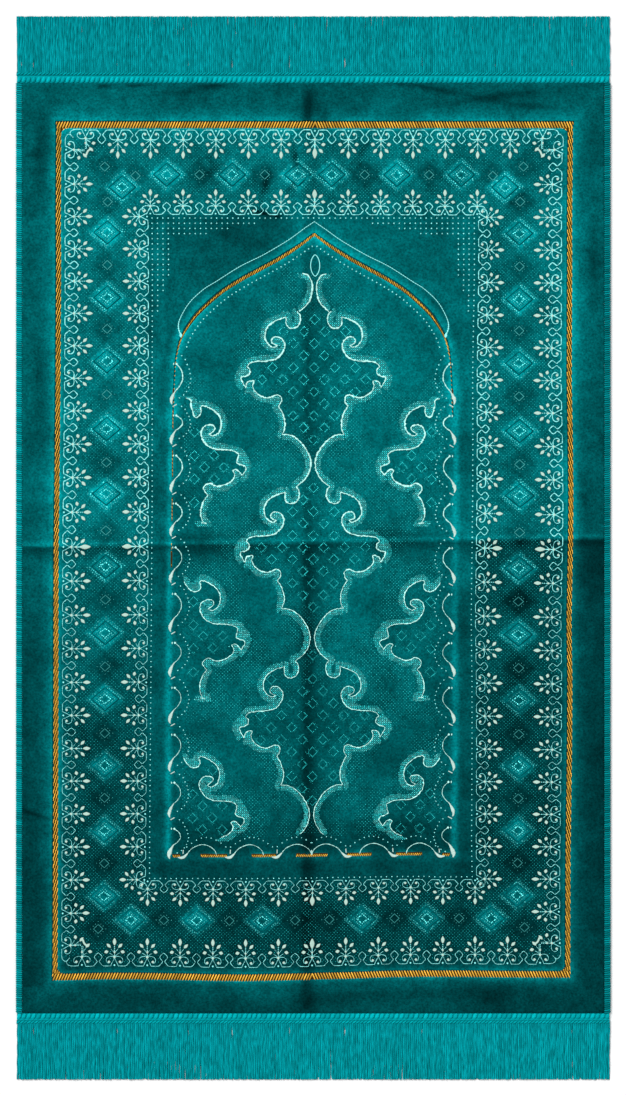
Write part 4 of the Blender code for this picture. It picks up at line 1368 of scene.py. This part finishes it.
notches = [stroke for k in range(3) for stroke in strokes_at((NOTCH,), SCROLL_HEAD - k * SCROLL_REPEAT)]
half_notches = [stroke for k in range(3) for stroke in strokes_at((HALF_NOTCH,), HALF_HEAD - k * HALF_REPEAT)]
half_filled = [np.array(HALF_FOOT) + (0, HALF_HEAD - k * HALF_REPEAT) for k in (0, 1)]
half_filled += [np.array(HALF_LOBE) + (0, HALF_HEAD - k * HALF_REPEAT) for k in (1, 2)]
middle_cloud = cloud(scroll_lines, notches, (), -1, (-100, 0, -345, 325))
side_cloud = cloud(half_lines, half_notches, half_filled, 1, (-160, -66, -345, 180))
cloud_places, cloud_fade, in_row = (np.concatenate(pair) for pair in zip(middle_cloud, side_cloud))
cloud_places = np.vstack([cloud_places, mirrored(cloud_places)])
cloud_fade, in_row = np.tile(cloud_fade, 2), np.tile(in_row, 2)
bright_tuft = in_row & (chance.random(len(cloud_places)) < 0.84 - 0.48 * cloud_fade)
cloud_points, cloud_faces = tufts(laid(cloud_places), np.where(bright_tuft, 0.92, 1.16))
cloud_light = np.where(bright_tuft, chance.uniform(0.85, 1.15, len(cloud_fade)),
                       chance.uniform(0.28, 0.40, len(cloud_fade)))
cloud_light = cloud_light * faded(cloud_places, 0.98) * (1.12 - 0.30 * cloud_fade)
cloud_yarn = yarn_material("cloud_yarn", (0.21, 0.99, 0.95), 520.0, 0.2, 0.8, 0.0, own_shade=True)
make_piece("cartouche_clouds", cloud_points, cloud_faces, [ground_yarn, cloud_yarn], "cream_yarn",
           np.repeat(cloud_light, 5), np.repeat(bright_tuft, 4))


# ---- The niche's fine ground ----
# Inside the cartouches a lattice of small outlined diamonds, and outside them patches of the border's small
# dots, both in a yarn only a little lighter than the pile.

LATTICE = {"middle": (0.8, 240.2), "across": 12.36, "down": 14.19, "half": 5.7}
SIDE_LATTICE = {"first": -128.8, "rows": (94.4, -106.0, -304.6), "across": 11.5, "down": 13.9}


def outline_of(lines, edge_x):
    """A scroll's lines as one closed outline against an upright at edge_x."""
    return np.vstack([*lines, [(edge_x, lines[-1][-1][1])], [(edge_x, lines[0][0][1])]])


middle_outline = outline_of(scroll_lines, 1.0)
side_outlines = [outline_of(lines, -148.0) for lines in (half_lines[:8], half_lines[8:16], half_lines[16:])]
lattice = [(LATTICE["middle"][0] + i * LATTICE["across"], LATTICE["middle"][1] + j * LATTICE["down"])
           for i in range(-6, 7) for j in range(-42, 4) if (i + j) % 2 == 0]
lattice = np.array(lattice)
lattice = lattice[enclosed(middle_outline, np.column_stack([-np.abs(lattice[:, 0]), lattice[:, 1]]))]
side_lattice = np.array([(SIDE_LATTICE["first"] + i * SIDE_LATTICE["across"], row + j * SIDE_LATTICE["down"])
                         for row in SIDE_LATTICE["rows"] for i in range(-1, 4) for j in range(-3, 4)
                         if (i + j) % 2 == 0])
side_lattice = side_lattice[np.any([enclosed(outline, side_lattice) for outline in side_outlines], axis=0)]
lattice = np.vstack([lattice, side_lattice, mirrored(side_lattice)])
line_points = scroll_points[:, :2]
too_near = np.array([np.min(np.hypot(*(line_points - laid([p])[0]).T)) < 4.2 for p in lattice])
lattice = lattice[~too_near & (lattice[:, 1] > -338)]
lattice_dots, dot_light = [], []
for middle in lattice:
    for half, drawn, light in ((LATTICE["half"], 0.92, 1.0), (LATTICE["half"] + 2.4, 0.30, 0.5)):
        corners = np.array([(1, 0), (0, 1), (-1, 0), (0, -1), (1, 0)]) * half + middle
        for i in range(4):
            for t in (0.0, 0.2, 0.4, 0.6, 0.8):
                if chance.random() < drawn:
                    lattice_dots.append(corners[i] + (corners[i + 1] - corners[i]) * t)
                    dot_light.append(light * chance.uniform(0.45, 1.4))
lattice_points, lattice_faces = tufts(laid(lattice_dots), 0.76)
make_piece("niche_lattice", lattice_points, lattice_faces, ground_yarn, "cream_yarn",
           np.repeat(dot_light, 5) * faded(lattice_points, 0.66))

grid = dot_grid(-152, 152, -340, 330)
left_grid = np.column_stack([-np.abs(grid[:, 0]), grid[:, 1]])
nearest = np.full(len(grid), 1e9)
for line in scroll_lines + half_lines:
    near = np.abs(left_grid[:, 1] - line[:, 1].mean()) < np.ptp(line[:, 1]) / 2 + 40
    thinned = line[::3] if len(line) > 8 else line
    nearest[near] = np.minimum(nearest[near], distance_to(thinned, *left_grid[near].T)[0])
in_middle = enclosed(middle_outline, left_grid)
in_half = np.zeros(len(grid), bool)
for outline in side_outlines:
    in_half |= enclosed(outline, left_grid)
gx, gy = left_grid[:, 0], left_grid[:, 1]
patch = 0.5 + 0.5 * np.sin(gx / 17 + 1.4 * np.sin(gy / 43)) * np.sin(gy / 29 + 0.6)
weight = smooth((nearest - 3) / 6) * (1 - smooth((nearest - 20) / 16)) * smooth(patch * 1.4)
weight = np.where(in_middle, 0.45 * (nearest < 14), weight)
weight = np.where(in_half, 0.5 * weight, weight)
drawn_points = np.vstack([scroll_points, lattice_points])[:, :2]
cloudy = beside(laid(cloud_places))(laid(grid)) | beside(drawn_points)(laid(grid))
keep = (weight > 0.15) & ~cloudy
ground_points, ground_faces = tufts(laid(grid[keep]), 0.45 + 0.28 * weight[keep])
make_piece("niche_ground_dots", ground_points, ground_faces, ground_yarn, "cream_yarn",
           np.repeat((0.22 + 0.30 * weight[keep]) * chance.uniform(0.3, 1.6, int(keep.sum())), 5))


# ---- The overlocked sides ----
# Teal yarn wrapped close over each cut long edge, from the face round to the back.

SIDE_WRAPS = 440

side_yarn = yarn_material("teal_overlock_yarn", (0.001, 0.345, 0.375), 600.0, 0.35, 0.8, 0.0, own_shade=True)
WRAP_PATH = ((342.7, 3.0), (343.4, 3.75), (345.6, 3.95), (347.6, 3.75), (349.0, 2.9), (349.5, 1.6),
             (348.9, 0.55), (346.5, 0.35), (343.2, 0.35))


def tube(path, radius, sides=5, flat=1.0):
    """A round yarn along a path of 3-D points. radius may change along it, and flat squashes its height."""
    path = np.asarray(path, float)
    along = np.gradient(path, axis=0)
    along /= np.linalg.norm(along, axis=1)[:, None] + 1e-9
    helper = np.where(np.abs(along[:, 2:3]) > 0.9, [[1.0, 0, 0]], [[0, 0, 1.0]])
    across = np.cross(along, helper)
    across /= np.linalg.norm(across, axis=1)[:, None] + 1e-9
    up = np.cross(across, along)
    turn = np.arange(sides) * 2 * math.pi / sides
    radius = np.broadcast_to(np.asarray(radius, float), len(path))[:, None, None]
    ring = across[:, None] * np.cos(turn)[None, :, None] + up[:, None] * np.sin(turn)[None, :, None] * flat
    points = (path[:, None] + radius * ring).reshape(-1, 3)
    i = np.arange(len(path) - 1)[:, None] * sides
    s, t = np.arange(sides), (np.arange(sides) + 1) % sides
    faces = np.stack([i + s, i + t, i + t + sides, i + s + sides], axis=-1).reshape(-1, 4)
    return points, faces


def slab(xs, ys, zs):
    """The points and faces of a flat padding under stitches: a box between two values on each axis."""
    (x0, x1), (y0, y1), (z0, z1) = sorted(xs), sorted(ys), sorted(zs)
    points = np.array([(x, y, z) for z in (z0, z1) for x, y in ((x0, y0), (x1, y0), (x1, y1), (x0, y1))])
    sides = [(i, (i + 1) % 4, (i + 1) % 4 + 4, i + 4) for i in range(4)]
    return points, np.array([(3, 2, 1, 0), (4, 5, 6, 7), *sides])


for name, side in (("side_overlock_left", -1), ("side_overlock_right", 1)):
    parts, lightness = [], []
    pitch = 2 * CLOTH_HALF[1] / SIDE_WRAPS
    for i in range(SIDE_WRAPS):
        place = -CLOTH_HALF[1] + pitch * (i + 0.5)
        lean = np.linspace(-0.5, 0.5, len(WRAP_PATH)) * pitch * 0.9
        path = [(side * px, place + shift, pz) for (px, pz), shift in zip(WRAP_PATH, lean)]
        wrap_points, wrap_faces = tube(path, pitch * 0.37, 5, 0.8)
        parts.append((wrap_points, wrap_faces if side > 0 else wrap_faces[:, ::-1]))
        level = 0.66 if side > 0 else 1.0 - 0.15 * smooth(-place / 200)
        lightness.append(np.full(len(wrap_points), chance.uniform(0.62, 1.28) * level))
    # A core under the wraps, darkened with painted shade for the gaps between them
    shaded_core = slab((side * 342.8, side * 349.0), (-CLOTH_HALF[1], CLOTH_HALF[1]), (0.6, 3.3))
    parts.append(shaded_core)
    lightness.append(np.full(len(shaded_core[0]), 0.30))
    wrap_points, wrap_faces = joined(parts)
    wraps = make_piece(name + "_wraps", wrap_points, wrap_faces, side_yarn, "teal_yarn",
                       np.concatenate(lightness))
    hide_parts(name)


# ---- The overlocked ends ----
# A row of fat slanting stitches of three-ply teal yarn over each cut end.

END_STITCHES = 121
END_HALF = 349.0
END_NEAR, END_FAR = 546.7, 554.6
STITCH_LEAN = 2.8
STITCH_RADIUS = 2.5

end_yarn = yarn_material("teal_end_yarn", (0.001, 0.455, 0.500), 650.0, 0.4, 0.8, 0.0, own_shade=True)


def plied(path, radius, plies=3, turns=1.5, sides=5, flat=0.8):
    """A fat yarn: thin plies wound round one another along a path."""
    path = np.asarray(path, float)
    parts = []
    t = np.linspace(0, 1, len(path))
    thick = radius * (0.35 + 0.65 * np.sin(math.pi * np.clip(t, 0.02, 0.98)) ** 0.5)
    along = path[-1] - path[0]
    along /= np.linalg.norm(along)
    across = np.cross(along, (0, 0, 1.0))
    for k in range(plies):
        angle = 2 * math.pi * (turns * t + k / plies)
        wound = path + across * (np.cos(angle) * thick * 0.45)[:, None]
        wound = wound + np.array([0, 0, 1.0]) * (np.sin(angle) * thick * 0.30)[:, None]
        parts.append(tube(wound, thick * 0.56, sides, flat))
    return joined(parts)


pitch = 2 * END_HALF / END_STITCHES
for name, end in (("end_overlock_head", 1), ("end_overlock_foot", -1)):
    parts, lightness = [], []
    for i in range(END_STITCHES):
        middle = -END_HALF + pitch * (i + 0.5)
        t = np.linspace(0, 1, 9)
        xs = middle + (t - 0.5) * STITCH_LEAN * end + chance.uniform(-0.25, 0.25)
        ys = END_NEAR + 0.6 + (END_FAR - END_NEAR - 1.2) * t
        zs = 1.3 + 1.45 * np.sin(math.pi * np.clip(t, 0.0, 1.0)) ** 0.6
        parts.append(plied(np.column_stack([np.clip(xs, -348.0, 348.0), end * ys, zs]), STITCH_RADIUS))
        lightness.append(np.full(len(parts[-1][0]), chance.uniform(0.72, 1.06)))
    # The padding under the stitches is a little darker, as painted shade in the gaps between them
    parts.append(slab((-348.6, 348.6), (end * 546.9, end * 555.6), (0.5, 1.9)))
    lightness.append(np.full(8, 0.70 if end > 0 else 0.72))
    stitch_points, stitch_faces = joined(parts)
    end_stitches = make_piece(name + "_stitches", stitch_points, stitch_faces, end_yarn, "teal_yarn",
                              np.concatenate(lightness))
    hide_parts(name)


# ---- The fringes ----
# A heading of small chained stitches is sewn along each end, and fine teal yarns hang from it in
# three layers. They lie a little crossed and wavy and their cut ends are uneven.

HEADING_NEAR, HEADING_FAR = 555.6, 559.8
CHAIN_STITCHES = 166
YARNS_PER_LAYER = 300
FRINGE_LEFT, FRINGE_SPAN = -348.4, 696.4
# The lower layers are darker, as painted shade under the upper ones
FRINGE_LAYERS = ((0.6, 0.80, 1.22), (1.2, 0.95, 0.84), (1.75, 1.08, 0.84))  # height, how light, half width
YARN_POINTS = 15
FRINGE_END = 625.6
PARTINGS = np.array([-343.0, -329.0, -231.0, -147.0, -95.0, -28.0, 37.0, 128.0, 214.0, 305.0])

fringe_yarn = yarn_material("teal_fringe_yarn", (0.001, 0.295, 0.330), 900.0, 0.25, 0.8, 0.0, own_shade=True)
for name, end in (("fringe_head", 1), ("fringe_foot", -1)):
    parts, lightness = [], []
    pitch = 2 * END_HALF / CHAIN_STITCHES
    for i in range(CHAIN_STITCHES):
        middle = -END_HALF + pitch * (i + 0.5)
        t = np.linspace(0, 1, 6)
        xs = middle + (t - 0.5) * pitch * 1.25
        ys = HEADING_NEAR + 0.7 + (HEADING_FAR - HEADING_NEAR - 1.4) * (t if end > 0 else 1 - t)
        zs = 1.7 + 0.75 * np.sin(math.pi * t)
        path = np.column_stack([np.clip(xs, -349.2, 349.2), end * ys, zs])
        parts.append(tube(path, 1.0 * (0.4 + 0.6 * np.sin(math.pi * np.clip(t, 0.05, 0.95))), 6))
        lightness.append(np.full(len(parts[-1][0]), chance.uniform(0.80, 1.1)))
    # The padding under the chain is darker, as painted shade between its stitches
    parts.append(slab((-END_HALF, END_HALF), (end * 555.4, end * 560.2), (0.4, 1.6)))
    lightness.append(np.full(8, 0.50))
    heading_points, heading_faces = joined(parts)
    make_piece(name + "_heading", heading_points, heading_faces, end_yarn, "teal_yarn",
               np.concatenate(lightness) * 0.8)

    parts, lightness = [], []
    t = np.linspace(0, 1, YARN_POINTS)
    for layer, (height, tone, thick) in enumerate(FRINGE_LAYERS):
        for i in range(YARNS_PER_LAYER):
            middle = FRINGE_LEFT + FRINGE_SPAN * (i + 0.5 + layer / 3) / YARNS_PER_LAYER
            drift = chance.normal(0, 0.42) + 1.0 * math.sin(middle / 41 + layer)
            crimp, phase = chance.uniform(0.15, 0.45), chance.uniform(0, 6.28)
            xs = middle + drift * t**1.4 + crimp * np.sin(t * chance.uniform(14, 24) + phase) * smooth(t * 5)
            apart = middle - PARTINGS[np.argmin(np.abs(middle - PARTINGS))]
            push = math.copysign(1.5, apart) * math.exp(-abs(apart) / 3)
            xs = xs + push * smooth(t * 6) * (1 - smooth(t * 2.2))
            length = FRINGE_END - HEADING_FAR - abs(chance.normal(0, 0.6))
            if chance.random() < 0.015:
                length -= chance.uniform(1.5, 4)
            ys = HEADING_FAR - 0.8 + (length + 0.8) * t
            zs = height + 0.25 * np.sin(t * 11 + phase) * smooth(t * 4) - 0.15 * t
            path = np.column_stack([np.clip(xs, -349.5, 349.5), end * ys, np.clip(zs, 0.45, 2.3)])
            parts.append(tube(path, thick * (1 - 0.08 * t**3), 4, 0.75 if layer else 0.48))
            light = tone * (0.92 if end > 0 else 0.95) * chance.uniform(0.86, 1.13)
            light = light * chance.uniform(0.70, 1.32, YARN_POINTS)
            lightness.append(np.repeat(light * (1 - 0.10 * (1 - smooth(t * 8))), 4))
    fringe_points, fringe_faces = joined(parts)
    yarns = make_piece(name + "_yarns", fringe_points, fringe_faces, fringe_yarn, "teal_yarn",
                       np.concatenate(lightness))
    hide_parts(name)


# ---- The floor, the light and the camera ----
# A plain white studio floor, soft light from the upper left, and a camera looking straight down at the rug.

FLOOR_HALF = 6.0
FLOOR_HEIGHT = -0.0004       # just under the cloth, so that their faces do not coincide
CAMERA_PLACE = (-0.0003, 0.0005, 3.58)
LENS = 100.0
WINDOW_STRENGTH, WINDOW_SPREAD = 2.3, 28
WINDOW_TILT = (-32, -30)
ROOM_LIGHT = 0.62

floor_mesh = bpy.data.meshes.new("floor")
corner_signs = ((-1, -1), (1, -1), (1, 1), (-1, 1))
floor_corners = [(x * FLOOR_HALF, y * FLOOR_HALF, FLOOR_HEIGHT) for x, y in corner_signs]
floor_mesh.from_pydata(floor_corners, [], [(0, 1, 2, 3)])
floor = bpy.data.objects.new("floor", floor_mesh)
bpy.context.scene.collection.objects.link(floor)
floor_paint, tree, shader = new_material("floor_paint", 0.8, 0.1)
grain = node(tree, "ShaderNodeGroup", node_tree=pile_grain)
grain.inputs["Tufts per metre"].default_value = 3.0
grain.inputs["Contrast"].default_value = 0.02
tree.links.new(tinted(tree, (0.93, 0.93, 0.93), grain.outputs["Tone"]), shader.inputs["Base Color"])
floor_mesh.materials.append(floor_paint)
floor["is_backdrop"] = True

sun_data = bpy.data.lights.new("window_light", "SUN")
sun_data.energy = WINDOW_STRENGTH
sun_data.angle = math.radians(WINDOW_SPREAD)
sun = bpy.data.objects.new("window_light", sun_data)
sun.rotation_euler = (math.radians(WINDOW_TILT[0]), math.radians(WINDOW_TILT[1]), 0)
bpy.context.scene.collection.objects.link(sun)
world = bpy.data.worlds.new("studio")
world.use_nodes = True
world.node_tree.nodes["Background"].inputs["Color"].default_value = (1.0, 1.0, 1.0, 1.0)
world.node_tree.nodes["Background"].inputs["Strength"].default_value = ROOM_LIGHT
bpy.context.scene.world = world
bpy.context.scene.view_settings.view_transform = "Standard"

camera_data = bpy.data.cameras.new("camera")
camera_data.lens = LENS
camera = bpy.data.objects.new("camera", camera_data)
camera.location = CAMERA_PLACE
bpy.context.scene.collection.objects.link(camera)
bpy.context.scene.camera = camera

low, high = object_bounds()
